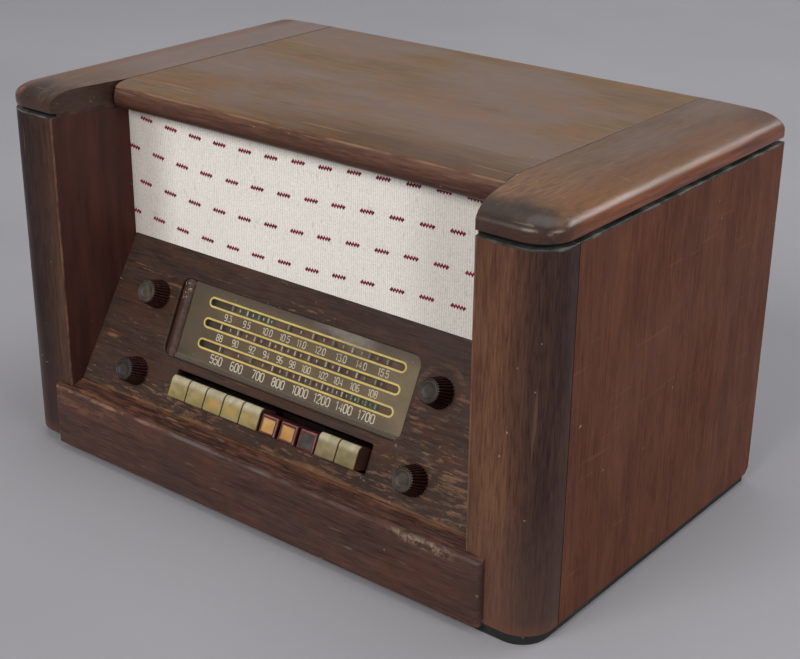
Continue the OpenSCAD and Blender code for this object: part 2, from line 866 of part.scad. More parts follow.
module push_button_7() {
    color("#7a3020") placed() on_panel() push_button(7);
}

module push_button_8() {
    color("#4a2018") placed() on_panel() push_button(8);
}

module push_button_9() {
    color("#cfc878") placed() on_panel() push_button(9);
}

module push_button_10() {
    color("#b9b79a") placed() on_panel() push_button(10);
}

// Sheet frame behind the slot, with a row of guide holes in each of its two plates
module button_bank() {
    plate_sheet = 1.6;
    skirt_clear = 3;
    front_h = -skirt_depth - button_travel - skirt_clear;
    plunger_out = 8;
    back_h = plunger_out - plunger_foot;
    high = 17;
    half = slot_w / 2 + 6;
    guide_gap = 0.15;
    guide_l = front_h - back_h + 4 * plate_sheet;
    color("#77756c") placed() on_panel() difference() {
        union() {
            for (z = [front_h, back_h])
                translate([-half, plunger_y() - high / 2, z - plate_sheet])
                    cube([2 * half, high, plate_sheet]);
            for (x = [-half, half - plate_sheet])
                translate([x, plunger_y() - high / 2, back_h - plate_sheet])
                    cube([plate_sheet, high, -panel_t - back_h + plate_sheet]);
        }
        for (i = [1:button_count])
            translate([button_x(i), plunger_y(), (front_h + back_h) / 2])
                cube([plunger_w + 2 * guide_gap, plunger_t + 2 * guide_gap, guide_l], center = true);
    }
}

// Knobs and controls

// Outline of a fluted ring
function fluted(r, depth, flutes, steps) =
    [for (i = [0:flutes * steps - 1]) let (a = 360 * i / (flutes * steps))
        (r - depth * (1 - cos(flutes * a)) / 2) * [cos(a), sin(a)]];

module knob() {
    flute_depth = 0.8;
    flute_steps = 6;
    translate([0, 0, knob_gap]) difference() {
        linear_extrude(knob_h - knob_gap, scale = knob_face_r / knob_r)
            polygon(fluted(knob_r, flute_depth, knob_flutes, flute_steps));
        translate([0, 0, -cut]) cylinder(h = shaft_top() - knob_gap + cut, r = shaft_r + socket_gap);
    }
}

knob_face_t = 4;
socket_gap = 0.02;
function shaft_top() = knob_h - knob_face_t;

module volume_knob() {
    color("#2a1614") at_control(-knob_x, knob_top_drop) knob();
}

module tone_knob() {
    color("#2a1614") at_control(-knob_x, knob_low_drop) knob();
}

module tuning_knob() {
    color("#2a1614") at_control(knob_x, knob_top_drop) knob();
}

module band_knob() {
    color("#2a1614") at_control(knob_x, knob_low_drop) knob();
}

// Control shaft from a foot depth to the knob's socket
module shaft(foot) {
    translate([0, 0, -foot]) cylinder(h = foot + shaft_top(), r = shaft_r);
}

pot_floor = 2;
wafer_t = 1.6;
wafer_pitch = 12;
wafer_count = 2;
switch_foot = wafer_pitch * wafer_count + wafer_t + 2;

module volume_shaft() {
    color("#b0aea4") at_control(-knob_x, knob_top_drop) shaft(panel_t + pot_d - pot_floor);
}

module tone_shaft() {
    color("#b0aea4") at_control(-knob_x, knob_low_drop) shaft(panel_t + pot_d - pot_floor);
}

module band_shaft() {
    color("#b0aea4") at_control(knob_x, knob_low_drop) shaft(panel_t + switch_foot);
}

// Tuning spindle with its grooved drum for the drive cord
module tuning_shaft() {
    flange = 1.5;
    groove_w = 7;
    lead = bearing_t + 0.4;
    color("#b0aea4") at_control(knob_x, knob_top_drop) {
        shaft(panel_t + lead + groove_w);
        translate([0, 0, -panel_t - lead - groove_w]) cylinder(h = groove_w, r = spindle_r);
        for (z = [0, groove_w - flange])
            translate([0, 0, -panel_t - lead - groove_w + z]) cylinder(h = flange, r = spindle_r + flange);
    }
}

bearing_t = 3;
bush_top = 0.5;

// Bush in the panel's hole, open along the shaft
module bush(foot) {
    difference() {
        translate([0, 0, -panel_t]) cylinder(h = panel_t - bush_top, r = bush_r);
        shaft_bore(foot);
    }
}

module shaft_bore(foot) {
    translate([0, 0, -foot]) cylinder(h = foot + cut, r = shaft_r + run_gap);
}

module potentiometer() {
    difference() {
        union() {
            translate([0, 0, -panel_t]) cylinder(h = panel_t - bush_top, r = bush_r);
            translate([0, 0, -panel_t - pot_d]) cylinder(h = pot_d, r = pot_r);
        }
        shaft_bore(panel_t + pot_d - pot_floor);
    }
}

module potentiometers() {
    color("#8d8b84") for (drop = [knob_top_drop, knob_low_drop])
        at_control(-knob_x, drop) potentiometer();
}

module tuning_bearing() {
    flange_r = 11;
    color("#8d8b84") at_control(knob_x, knob_top_drop) {
        bush(panel_t + cut);
        difference() {
            translate([0, 0, -panel_t - bearing_t]) cylinder(h = bearing_t, r = flange_r);
            shaft_bore(panel_t + bearing_t + cut);
        }
    }
}

// Rotary switch with its wafers on two spacer rods
module band_switch() {
    plate_r = 14;
    rod_place = 11;
    rod = 1.4;
    color("#8a6a3c") at_control(knob_x, knob_low_drop) difference() {
        union() {
            translate([0, 0, -panel_t]) cylinder(h = panel_t - bush_top, r = bush_r);
            translate([0, 0, -panel_t - 2]) cylinder(h = 2, r = plate_r);
            for (i = [1:wafer_count])
                translate([0, 0, -panel_t - i * wafer_pitch - wafer_t]) cylinder(h = wafer_t, r = plate_r);
            for (x = [-rod_place, rod_place])
                translate([x, 0, -panel_t - switch_foot]) cylinder(h = switch_foot, r = rod);
        }
        shaft_bore(panel_t + switch_foot + cut);
    }
}

// Tuning capacitor

vane_pitch = 3 * vane_t;
section_l = vane_count * vane_pitch;
section_gap = 6;
frame_t = 2;
frame_y = chassis_y + 3;
frame_l = 2 * section_l + 3 * section_gap + 2 * frame_t;
gang_shaft_r = 3;

// Local frame of the tuning capacitor: z runs back along its shaft, from the frame's front
module on_gang() {
    translate([gang_x, frame_y, gang_z]) rotate([-90, 0, 0]) children();
}

function section_start(i) = frame_t + section_gap + i * (section_l + section_gap);

module capacitor_frame() {
    half = vane_r + 6;
    high = half + gang_z - deck_z;
    color("#a9a69a") placed() on_gang() difference() {
        translate([-half, -half, 0]) cube([2 * half, high, frame_l]);
        translate([-half - cut, -half - cut, frame_t])
            cube([2 * half + 2 * cut, high + cut - frame_t, frame_l - 2 * frame_t]);
        translate([0, 0, -cut]) cylinder(h = frame_l + 2 * cut, r = gang_shaft_r + run_gap);
    }
}

// Fixed plates on the left of the shaft, on two rods between the frame's ends
module capacitor_stator() {
    rod = 1.5;
    edge = vane_r + 4;
    inner = gang_shaft_r + 2;
    color("#c4c2b8") placed() on_gang() {
        for (s = [0, 1], i = [0:vane_count - 1])
            translate([-edge, -vane_r, section_start(s) + (i + 0.5) * vane_pitch])
                cube([edge - inner, 2 * vane_r, vane_t]);
        for (y = [-1, 1])
            translate([-edge + rod, y * (vane_r - rod), frame_t]) cylinder(h = frame_l - 2 * frame_t, r = rod);
    }
}

// Moving vanes and shaft, fully meshed with the fixed plates at rest
module capacitor_rotor() {
    hub_r = gang_shaft_r + 1;
    foot = frame_y - drum_y;
    color("#c9b98a") placed() on_gang() {
        translate([0, 0, -foot]) cylinder(h = foot + frame_l, r = gang_shaft_r);
        for (s = [0, 1])
            translate([0, 0, section_start(s)]) {
                cylinder(h = section_l, r = hub_r);
                for (i = [0:vane_count - 1])
                    translate([0, 0, i * vane_pitch]) rotate([0, 0, 90]) rotate_extrude(angle = 180)
                        square([vane_r, vane_t]);
            }
    }
}

// Drum on the capacitor's shaft, with a groove for the drive cord
module dial_drum() {
    lip = 3;
    web_t = 2;
    hub = 8;
    rim = 5;
    color("#b08d4a") placed() translate([gang_x, drum_y, gang_z]) rotate([-90, 0, 0]) rotate_extrude()
        polygon([
            [gang_shaft_r + socket_gap, 0],
            [hub, 0],
            [hub, (drum_w - web_t) / 2],
            [drum_r - rim, (drum_w - web_t) / 2],
            [drum_r - rim, 0],
            [drum_r + lip, 0],
            [drum_r, drum_w / 4],
            [drum_r, drum_w * 3 / 4],
            [drum_r + lip, drum_w],
            [drum_r - rim, drum_w],
            [drum_r - rim, (drum_w + web_t) / 2],
            [hub, (drum_w + web_t) / 2],
            [hub, drum_w],
            [gang_shaft_r + socket_gap, drum_w]
        ]);
}

// Chassis and what stands on it

module chassis() {
    color("#9b988c") placed() translate([-chassis_w / 2, chassis_y, base_t]) difference() {
        cube([chassis_w, chassis_d, chassis_h]);
        translate([chassis_t, chassis_t, -cut])
            cube([chassis_w - 2 * chassis_t, chassis_d - 2 * chassis_t, chassis_h - chassis_t + cut]);
    }
}

// Transformer with its stack of laminations and a rounded winding cover above it
module transformer(w, d, h) {
    flange = 4;
    cube([w, d, h / 2]);
    translate([flange, flange, 0]) cube([w - 2 * flange, d - 2 * flange, h]);
}

// Mains transformer on the left and output transformer beside the capacitor
module transformers() {
    mains_w = 74;
    mains_d = 64;
    mains_h = 80;
    mains_x = 12;
    mains_y = 24;
    output_w = 46;
    output_d = 38;
    output_h = 44;
    output_x = 108;
    output_y = 12;
    color("#2e2d2b") placed() translate([-chassis_w / 2, chassis_y, deck_z]) {
        translate([mains_x, mains_y, 0]) transformer(mains_w, mains_d, mains_h);
        translate([output_x, output_y, 0]) transformer(output_w, output_d, output_h);
    }
}

valve_count = 5;
valve_pitch = 60;
valve_inset = 42;
socket_h = 5;
function valve_y() = chassis_y + chassis_d - valve_inset;
function valve_x(i) = (i - (valve_count - 1) / 2) * valve_pitch;

module valve_sockets() {
    wall = 3;
    color("#6b4a24") placed() for (i = [0:valve_count - 1])
        translate([valve_x(i), valve_y(), deck_z]) cylinder(h = socket_h, r = valve_r + wall);
}

module valves() {
    foot_h = 12;
    foot_r = valve_r - 1;
    color("#c9cfd0", 0.6) placed() for (i = [0:valve_count - 1])
        translate([valve_x(i), valve_y(), deck_z + socket_h]) {
            cylinder(h = foot_h, r = foot_r);
            translate([0, 0, foot_h]) cylinder(h = valve_h - foot_h - valve_r, r = valve_r);
            translate([0, 0, valve_h - valve_r]) sphere(r = valve_r);
        }
}

// Square cans over the intermediate-frequency coils
module shield_cans() {
    corner = 3;
    can_inset_x = 35;
    can_inset_y = 26;
    can_pitch = 48;
    right = chassis_w / 2 - can_inset_x;
    color("#b9b8b0") placed() for (i = [0, 1], j = [0, 1])
        translate([right - i * can_pitch, chassis_y + can_inset_y + j * can_pitch, deck_z])
            linear_extrude(can_h) polygon(round_rect(can_w, can_w, corner));
}

// Loudspeaker, drawn about its axis and set against the back of the grille board

module on_speaker() {
    translate([0, speaker_y, speaker_z]) rotate([-90, 0, 0]) children();
}

basket_t = 1.2;
basket_rim = 3;
speaker_seat = 7;
coil_r = 12;

module speaker_basket() {
    seat = speaker_r - speaker_seat;
    color("#7f8078") placed() on_speaker() rotate_extrude() polygon([
        [seat, 0],
        [speaker_r, 0],
        [speaker_r, basket_rim],
        [seat + basket_t, basket_rim],
        [magnet_r - basket_t, basket_d],
        [coil_r, basket_d],
        [coil_r, basket_d - basket_t],
        [magnet_r - 2 * basket_t, basket_d - basket_t],
        [seat, basket_rim - basket_t]
    ]);
}

// Paper cone with its dust cap, held at its edge in the basket's rim
module speaker_cone() {
    seat = speaker_r - speaker_seat;
    roll = 3;
    paper = 0.8;
    cone_clear = 14;
    cone_d = basket_d - cone_clear;
    coil_l = 6;
    cap_rise = 4;
    color("#3d352c") placed() on_speaker() rotate_extrude() polygon([
        [seat, 0],
        [seat, paper],
        [seat - roll, paper],
        [coil_r, cone_d],
        [coil_r, cone_d + coil_l],
        [coil_r - paper, cone_d + coil_l],
        [coil_r - paper, cone_d],
        [0, cone_d - cap_rise],
        [0, cone_d - cap_rise - paper],
        [coil_r - paper, cone_d - paper],
        [seat - roll - paper, 0]
    ]);
}

module speaker_magnet() {
    pole_r = coil_r - 2;
    pole_h = 6;
    color("#55564f") placed() on_speaker() {
        translate([0, 0, basket_d]) cylinder(h = magnet_d, r = magnet_r);
        translate([0, 0, basket_d - pole_h]) cylinder(h = pole_h, r = pole_r);
    }
}

// Flat frame of the loop aerial on the back cover's inner face
module loop_antenna() {
    w = 260;
    band = 14;
    t = 4;
    valve_clear = 16;
    low_z = deck_z + socket_h + valve_h + valve_clear;
    h = post_top_z - loop_margin - low_z;
    color("#8a6f42") placed() translate([-w / 2, back_y - t, low_z]) difference() {
        cube([w, t, h]);
        translate([band, -cut, band]) cube([w - 2 * band, t + 2 * cut, h - 2 * band]);
    }
}

// Nodes

left_post();
right_post();
left_side_panel();
right_side_panel();
left_cap();
right_cap();
cap_ledges();
top_panel();
front_rail();
control_panel();
grille_board();
grille_cloth();
base_board();
back_cleats();
back_cover();
back_cover_screws();
cord_grommet();
dial_glass();
dial_plate();
dial_end_strip();
dial_backplate();
dial_pointer();
pointer_rail();
lamp_holders();
dial_lamps();
push_button_1();
push_button_2();
push_button_3();
push_button_4();
push_button_5();
push_button_6();
push_button_7();
push_button_8();
push_button_9();
push_button_10();
button_bank();
volume_knob();
tone_knob();
tuning_knob();
band_knob();
volume_shaft();
tone_shaft();
tuning_shaft();
band_shaft();
potentiometers();
band_switch();
tuning_bearing();
dial_drum();
capacitor_frame();
capacitor_stator();
capacitor_rotor();
chassis();
transformers();
valve_sockets();
valves();
shield_cans();
speaker_basket();
speaker_cone();
speaker_magnet();
loop_antenna();
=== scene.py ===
"""Looks of a wooden table radio receiver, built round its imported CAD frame.

Sizes are in millimetres until a piece is placed. Places in the materials are in metres in the row frame, unless a
function says otherwise.
"""

import math
import random

import bpy
from mathutils import Matrix, Vector


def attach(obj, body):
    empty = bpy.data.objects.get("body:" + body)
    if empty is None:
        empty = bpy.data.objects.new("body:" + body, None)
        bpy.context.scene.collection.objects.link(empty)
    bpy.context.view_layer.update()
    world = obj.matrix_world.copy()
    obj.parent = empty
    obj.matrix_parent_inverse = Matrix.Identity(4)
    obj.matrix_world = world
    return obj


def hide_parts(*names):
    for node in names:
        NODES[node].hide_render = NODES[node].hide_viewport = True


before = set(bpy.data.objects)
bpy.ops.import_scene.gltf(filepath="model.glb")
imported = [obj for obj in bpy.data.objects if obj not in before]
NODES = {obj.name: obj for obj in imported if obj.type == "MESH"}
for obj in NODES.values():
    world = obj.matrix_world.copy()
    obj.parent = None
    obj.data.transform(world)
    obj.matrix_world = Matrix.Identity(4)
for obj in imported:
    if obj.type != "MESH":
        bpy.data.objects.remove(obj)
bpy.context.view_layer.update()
MM = 0.001
CABINET = "cabinet"

# Sizes that the pieces share with the CAD, in millimetres; depth is counted from the posts' front
FRONT_Y = -153.75
HALF_W = 260.0
BODY_D = 314.0
HEIGHT = 309.5
BASE_T = 7.5
SIDE_T = 10.0
CORNER_R = 25.0
POST_D = 32.0
POST_TOP = 288.5
RECESS_X = 202.5
GRILLE_X = 187.5
GRILLE_Y = 66.5
CAP_Z = 291.7
PANEL_TOP_Z = 181.0
PANEL_FOOT = (9.0, 64.5)
PANEL_T = 10.0
TILT = math.atan2(GRILLE_Y - PANEL_FOOT[0], PANEL_TOP_Z - PANEL_FOOT[1])
PANEL_L = (PANEL_TOP_Z - PANEL_FOOT[1]) / math.cos(TILT)
DIAL = {"x": -0.8, "w": 242.0, "h": 64.5, "drop": 22.3, "r": 8.0, "strip": 11.5}
WINDOW = {"x": 8.0, "w": 196.0, "h": 5.6, "drop": 34.5, "pitch": 16.8}
SLOT = {"w": 201.0, "h": 22.6, "drop": 93.8, "r": 1.2}
BUTTON = {"x": 2.8, "pitch": 19.2, "drop": 97.0, "l": 17.8}
IVORY = {"w": 18.8, "l": 17.8, "proud": 12.8, "roll": 5.0, "fall": 3.4}
RED = {"w": 15.6, "l": 14.6, "proud": 12.0, "roll": 1.4, "fall": 1.0}
RED_BUTTONS = (6, 7, 8)
KNOB = {"x": 142.8, "r": 12.0, "face_r": 9.4, "h": 16.0, "gap": 0.8, "flutes": 28, "hole_r": 5.0}
DROPS = (42.5, 107.3)
KNOBS = {"volume": (-1, DROPS[0]), "tone": (-1, DROPS[1]), "tuning": (1, DROPS[0]), "band": (1, DROPS[1])}
POST_SEAM = (FRONT_Y + POST_D) * MM


# Geometry helpers


def cabinet(x, y, z):
    """A place counted from the posts' front, in metres in the row frame."""
    return Vector((x, y + FRONT_Y, z)) * MM


def panel(x, y, z):
    """A place on the sloped panel: x right, y up the slope from its top edge, z out of its face."""
    s, c = math.sin(TILT), math.cos(TILT)
    return cabinet(x, GRILLE_Y + y * s - z * c, PANEL_TOP_Z + y * c + z * s)


def arc(cx, cy, r, a0, a1, n=16):
    """Points on an arc, in degrees."""
    angles = [math.radians(a0 + (a1 - a0) * i / n) for i in range(n + 1)]
    return [(cx + r * math.cos(a), cy + r * math.sin(a)) for a in angles]


def round_rect(w, h, r, cx, cy, n=8):
    """Outline of a rectangle with round corners, counter-clockwise."""
    x, y = w / 2 - r, h / 2 - r
    corners = ((x, y), (-x, y), (-x, -y), (x, -y))
    return [p for i, (a, b) in enumerate(corners) for p in arc(cx + a, cy + b, r, 90 * i, 90 * i + 90, n)]


def rect(w, h, cx, cy):
    """Outline of a plain rectangle, counter-clockwise."""
    return [(cx + a * w / 2, cy + b * h / 2) for a, b in ((-1, -1), (1, -1), (1, 1), (-1, 1))]


def recess_at(y):
    """Half width of the recess at a depth."""
    return RECESS_X - (RECESS_X - GRILLE_X) * y / GRILLE_Y


def linked(name, data):
    """A scene object that holds the data."""
    obj = bpy.data.objects.new(name, data)
    bpy.context.scene.collection.objects.link(obj)
    return obj


def dress(obj, mat, body=CABINET, replaces=(), slot=None, smooth=35.0, bevel=None):
    """Gives a piece its material, shading, edge rounding and body."""
    mesh = obj.data
    mesh.materials.clear()
    mesh.materials.append(mat)
    if bevel:
        mod = obj.modifiers.new("edges", "BEVEL")
        mod.width = bevel * MM
        mod.segments = 3
        mod.limit_method = "ANGLE"
        mod.angle_limit = math.radians(34)
        mod.harden_normals = True
    if smooth:
        mesh.shade_smooth()
        mesh.set_sharp_from_angle(angle=math.radians(smooth))
    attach(obj, body)
    if replaces:
        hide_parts(*replaces)
    return obj


def piece(name, verts, faces, mat, place=cabinet, **fixing):
    """Makes one mesh piece from points in millimetres and fixes it to a body."""
    mesh = bpy.data.meshes.new(name)
    mesh.from_pydata([place(*v) for v in verts], [], faces)
    mesh.validate()
    return dress(linked(name, mesh), mat, **fixing)


def pair(name, node, verts, faces, mat, **fixing):
    """A piece on the right and its mirror image on the left, each for its CAD node."""
    piece(f"right_{name}", verts, faces, mat, replaces=[f"right_{node}"], **fixing)
    mirrored = [(-x, y, z) for x, y, z in verts]
    piece(f"left_{name}", mirrored, [f[::-1] for f in faces], mat, replaces=[f"left_{node}"], **fixing)


def prism(outline, lo, hi, axis="z"):
    """Points and faces of an outline drawn out along an axis; an x prism's outline is (depth, height)."""
    verts = [(a, b, h) if axis == "z" else (h, a, b) for h in (lo, hi) for a, b in outline]
    n = len(outline)
    faces = [tuple(range(n))[::-1], tuple(range(n, 2 * n))]
    faces += [(i, (i + 1) % n, n + (i + 1) % n, n + i) for i in range(n)]
    return verts, faces


def loft(rings, closed=True):
    """Points and faces of a solid through rings of equal length."""
    n = len(rings[0])
    verts = [p for ring in rings for p in ring]
    faces = [
        (k * n + i, k * n + (i + 1) % n, (k + 1) * n + (i + 1) % n, (k + 1) * n + i)
        for k in range(len(rings) - 1)
        for i in range(n)
    ]
    if closed:
        faces += [tuple(range(n))[::-1], tuple(range((len(rings) - 1) * n, len(rings) * n))]
    return verts, faces


def join(parts):
    """One list of points and faces from several."""
    verts, faces = [], []
    for v, f in parts:
        k = len(verts)
        verts += v
        faces += [tuple(i + k for i in face) for face in f]
    return verts, faces


def drawn(name, lines, closed, place, **settings):
    """A mesh object from a curve through points, each of its vertices then moved to its place."""
    curve = bpy.data.curves.new(name, "CURVE")
    for key, value in settings.items():
        setattr(curve, key, value)
    for line in lines:
        spline = curve.splines.new("POLY")
        spline.points.add(len(line) - 1)
        for point, (x, y) in zip(spline.points, line):
            point.co = (x * MM, y * MM, 0, 1)
        spline.use_cyclic_u = closed
    source = linked(name, curve)
    graph = bpy.context.evaluated_depsgraph_get()
    mesh = bpy.data.meshes.new_from_object(source.evaluated_get(graph))
    bpy.data.objects.remove(source)
    for v in mesh.vertices:
        v.co = place(v.co.x / MM, v.co.y / MM, v.co.z / MM)
    mesh.name = name
    return linked(name, mesh)


def holed_plate(name, loops, z0, z1, edge=0.0):
    """A flat plate on the panel from its outline and holes, its edges rounded."""
    sizes = {"extrude": ((z1 - z0) / 2 - edge) * MM, "bevel_depth": edge * MM, "bevel_resolution": 2}
    mid = (z0 + z1) / 2
    place = lambda x, y, z: panel(x, y, z + mid)
    return drawn(name, loops, True, place, dimensions="2D", fill_mode="BOTH", offset=-edge * MM, **sizes)


def strokes(name, lines, width, z0, thick, plane=panel):
    """Round-ended drawn lines, flattened onto a plane."""
    sizes = {"bevel_depth": width / 2 * MM, "bevel_resolution": 1}
    place = lambda x, y, z: plane(x, y, z0 + z * thick / width)
    return drawn(name, lines, False, place, dimensions="3D", use_fill_caps=True, **sizes)


# Shader helpers


def linear(colour):
    """A colour written in screen values, turned linear."""
    return [(c / 255 / 12.92) if c <= 10.3 else ((c / 255 + 0.055) / 1.055) ** 2.4 for c in colour]


def rgba(colour):
    """A colour for a socket: whole numbers are screen values, fractions are linear already."""
    if isinstance(colour, Value):
        return colour
    return (*(linear(colour) if all(isinstance(c, int) for c in colour) else colour), 1.0)


class Value:
    """What a node gives. Sums, products, fades and colour ramps of it are further nodes."""

    def __init__(self, shader, socket):
        self.shader, self.socket = shader, socket

    def math(self, op, other=None, clamp=False):
        return self.shader.node("Math", 0, {0: self, 1: other}, operation=op, use_clamp=clamp)

    def __add__(self, other):
        return self.math("ADD", other)

    def __sub__(self, other):
        return self.math("SUBTRACT", other)

    def __mul__(self, other):
        return self.math("MULTIPLY", other)

    def __abs__(self):
        return self.math("ABSOLUTE")

    def less(self, other):
        return self.math("SUBTRACT", other, clamp=True)

    def max(self, other):
        return self.math("MAXIMUM", other)

    def fit(self, lo, hi, start=0, end=1, kind="LINEAR"):
        """Goes from start to end while the value goes from lo to hi, and stays there outside."""
        inputs = {0: self, 1: lo, 2: hi, 3: start, 4: end}
        return self.shader.node("MapRange", 0, inputs, clamp=True, interpolation_type=kind)

    def ease(self, lo, hi, start=0, end=1):
        """The same with a soft start and end."""
        return self.fit(lo, hi, start, end, "SMOOTHSTEP")

    def band(self, lo, hi, soft):
        """1 between two values, falling to 0 over a soft width outside them."""
        return self.ease(lo - soft, lo) * self.ease(hi, hi + soft, 1, 0)

    def ramp(self, *stops):
        """Colours along the value; positions and colours are given in turn."""
        result = self.shader.node("ValToRGB", 0, {0: self})
        marks = result.socket.node.color_ramp.elements
        while len(marks) < len(stops) // 2:
            marks.new(0.5)
        for mark, at, colour in zip(marks, stops[::2], stops[1::2]):
            mark.position = at
            mark.color = rgba(colour)
        return result


class Shader:
    """A material with short calls for its nodes and a base colour that is laid on in coats."""

    def __init__(self, name, rough=0.5, spec=0.5):
        self.mat = bpy.data.materials.new(name)
        self.mat.use_nodes = True
        self.tree = self.mat.node_tree
        self.place = self.node("TexCoord", "Object", {})
        self.x, self.y, self.z = self.split(self.place)
        self.base = None
        self.set(Roughness=rough, Specular_IOR_Level=spec)

    def link(self, value, socket):
        if isinstance(value, Value):
            self.tree.links.new(value.socket, socket)
        elif value is not None:
            socket.default_value = value

    def node(self, kind, out, inputs, **props):
        """An output of a new node, whose inputs are given by name or number."""
        node = self.tree.nodes.new("ShaderNode" + kind)
        for key, value in props.items():
            setattr(node, key, value)
        for key, value in inputs.items():
            self.link(value, node.inputs[key])
        return Value(self, node.outputs[out])

    def set(self, **inputs):
        """Sets the surface's own inputs, by their names with underscores."""
        for key, value in inputs.items():
            self.link(value, self.tree.nodes["Principled BSDF"].inputs[key.replace("_", " ")])

    def split(self, vector):
        node = self.node("SeparateXYZ", 0, {0: vector}).socket.node
        return [Value(self, out) for out in node.outputs]

    def noise(self, scale, detail=3, rough=0.55, warp=0, shift=(0, 0, 0), turn=(0, 0, 0), size=1):
        """Cloud noise, at a scale for each axis or at one for all."""
        if not isinstance(scale, tuple):
            scale, size = (1, 1, 1), scale
        turn = [math.radians(a) for a in turn]
        place = self.node("Mapping", 0, {"Vector": self.place, "Scale": scale, "Location": shift, "Rotation": turn})
        inputs = {"Vector": place, "Scale": size, "Detail": detail, "Roughness": rough, "Distortion": warp}
        return self.node("TexNoise", 0, inputs)

    def mix(self, fac, a, b, blend="MIX"):
        return self.node("Mix", 2, {0: fac, 6: rgba(a), 7: rgba(b)}, data_type="RGBA", blend_type=blend)

    def lay(self, mask, colour):
        """Lays a colour over the base where the mask is 1."""
        self.base = self.mix(mask, self.base, colour)

    def dim(self, mask, factor):
        """Multiplies the base by a linear factor where the mask is 1."""
        self.lay(mask, self.mix(1.0, self.base, factor, "MULTIPLY"))

    def smear(self, colour, amount, scale=(9, 9, 9), lo=0.5, hi=0.7, shift=(3, 1, 2)):
        """Lays soft cloudy patches."""
        self.lay(self.noise(scale, 4, 0.6, 0.3, shift).ease(lo, hi, 0, amount), colour)

    def scratches(self, colour, amount, turn, lo, shift=(0, 0, 0), scale=(12, 260, 260)):
        """Lays thin scratches of one direction."""
        self.lay(self.noise(scale, 1.5, 0.4, 0, shift, turn).fit(lo, lo + 0.035, 0, amount), colour)

    def specks(self, colour, amount, size=220, lo=0.77, shift=(5, 5, 5)):
        """Lays small chips and dust specks."""
        self.lay(self.noise(size, 1, 0.4, 0, shift).fit(lo, lo + 0.04, 0, amount), colour)

    def done(self, height=None, strength=0.3, distance=0.4, **inputs):
        """Gives the material, with its base colour, other inputs and bump, whose distance is in millimetres."""
        if height is not None:
            bump = {"Strength": strength, "Distance": distance * MM, "Height": height}
            self.set(Normal=self.node("Bump", 0, bump))
        self.set(Base_Color=self.base, **inputs)
        return self.mat


def toned(name, rough, spec, cloud, *stops):
    """A shader whose base colour follows one cloud noise."""
    s = Shader(name, rough, spec)
    s.cloud = s.noise(*cloud)
    s.base = s.cloud.ramp(*stops)
    return s


def wood(name, dark, mid, light, grain, shift, rough=0.42, pores=0.45, spec=0.15, contrast=1.0):
    """Varnished hardwood: a broad figure, fine streaks along the grain and dark open pores."""
    s = Shader(name, rough, spec)
    off = (shift, shift * 0.7, shift * 1.3)

    def along(length, width, *kind):
        return s.noise(tuple(length if axis == grain else width for axis in "xyz"), *kind, off)

    figure, s.streak, s.fine = along(4, 34, 3, 0.5, 0.5), along(14, 270, 5, 0.66, 0.1), along(60, 720, 3, 0.6, 0)
    spread = 0.13 / contrast
    mixed = figure * 0.2 + s.streak * 0.32 + s.fine * 0.48
    s.base = mixed.ramp(0.5 - spread, dark, 0.5, mid, 0.5 + spread, light)
    s.hole = s.fine.fit(0.60, 0.70)
    s.dim(s.hole * pores, (0.25, 0.2, 0.2))
    return s


def plain(name, colour, rough, vary, size, spec=0.5):
    """A solid tone with the slight unevenness of a real surface."""
    tone = linear(colour)
    dark, light = [c * (1 - vary * 2) for c in tone], [min(1.0, c * (1 + vary)) for c in tone]
    s = toned(name, rough, spec, (size, 4, 0.6), 0.35, dark, 0.65, light)
    rough = s.cloud.fit(0.3, 0.7, max(0.05, rough - 0.08), min(1.0, rough + 0.08))
    return s.done(s.noise(size * 8, 3, 0.6), 0.12, 0.2, Roughness=rough)


def metal(name, colour, rough, brushed=(70, 70, 70), metallic=1.0, stain=None):
    """Metal with a grain, stained where a stain's colour is given."""
    tone = linear(colour)
    dark, light = [c * 0.72 for c in tone], [min(1.0, c * 1.12) for c in tone]
    s = toned(name, rough, 0.5, (brushed, 4, 0.6), 0.35, dark, 0.65, light)
    if stain:
        s.smear(stain, 0.6, (30, 30, 30), 0.5, 0.66)
    rough = s.cloud.fit(0.3, 0.7, rough - 0.08, rough + 0.12)
    return s.done(s.noise(brushed, size=4), 0.12, 0.1, Metallic=metallic, Roughness=rough)


def recess_side(s):
    """1 on the faces that line the recess, which lean in towards the grille."""
    slant = (RECESS_X - GRILLE_X) / GRILLE_Y
    across = abs(s.x) + (s.y - FRONT_Y * MM) * slant
    return across.fit((RECESS_X + 0.3) * MM, (RECESS_X + 0.5) * MM, 1, 0)


def seam(s, value, at, half=0.0003):
    """Darkens the line where two boards meet."""
    s.lay(value.band(at - half, at + half, 0.0003).less(recess_side(s)) * 0.8, (30, 20, 16))


def shoulder(s):
    """Worn grey-green paint on the upward faces below the caps."""
    chipped = s.noise((70, 70, 70), 5, 0.66).fit(0.35, 0.65, -0.0008, 0.0006)
    paint = s.noise((60, 60, 200), 4, 0.6).ramp(0.36, (38, 38, 35), 0.52, (64, 66, 61), 0.64, (96, 98, 92))
    s.lay((s.z + chipped).fit(0.2869, 0.2874).less(recess_side(s)), paint)


def slope_y(s, out=0.0):
    """Distance down the panel, in millimetres and negative, of a point that stands out of it by out."""
    return (s.z * 1000.0 - (PANEL_TOP_Z + out * math.sin(TILT))).math("DIVIDE", math.cos(TILT))


def panel_height(s):
    """Height above the panel's face, in millimetres."""
    origin = panel(0, 0, 0)
    return (s.y - origin.y) * (-math.cos(TILT) / MM) + (s.z - origin.z) * (math.sin(TILT) / MM)


# Materials of the case


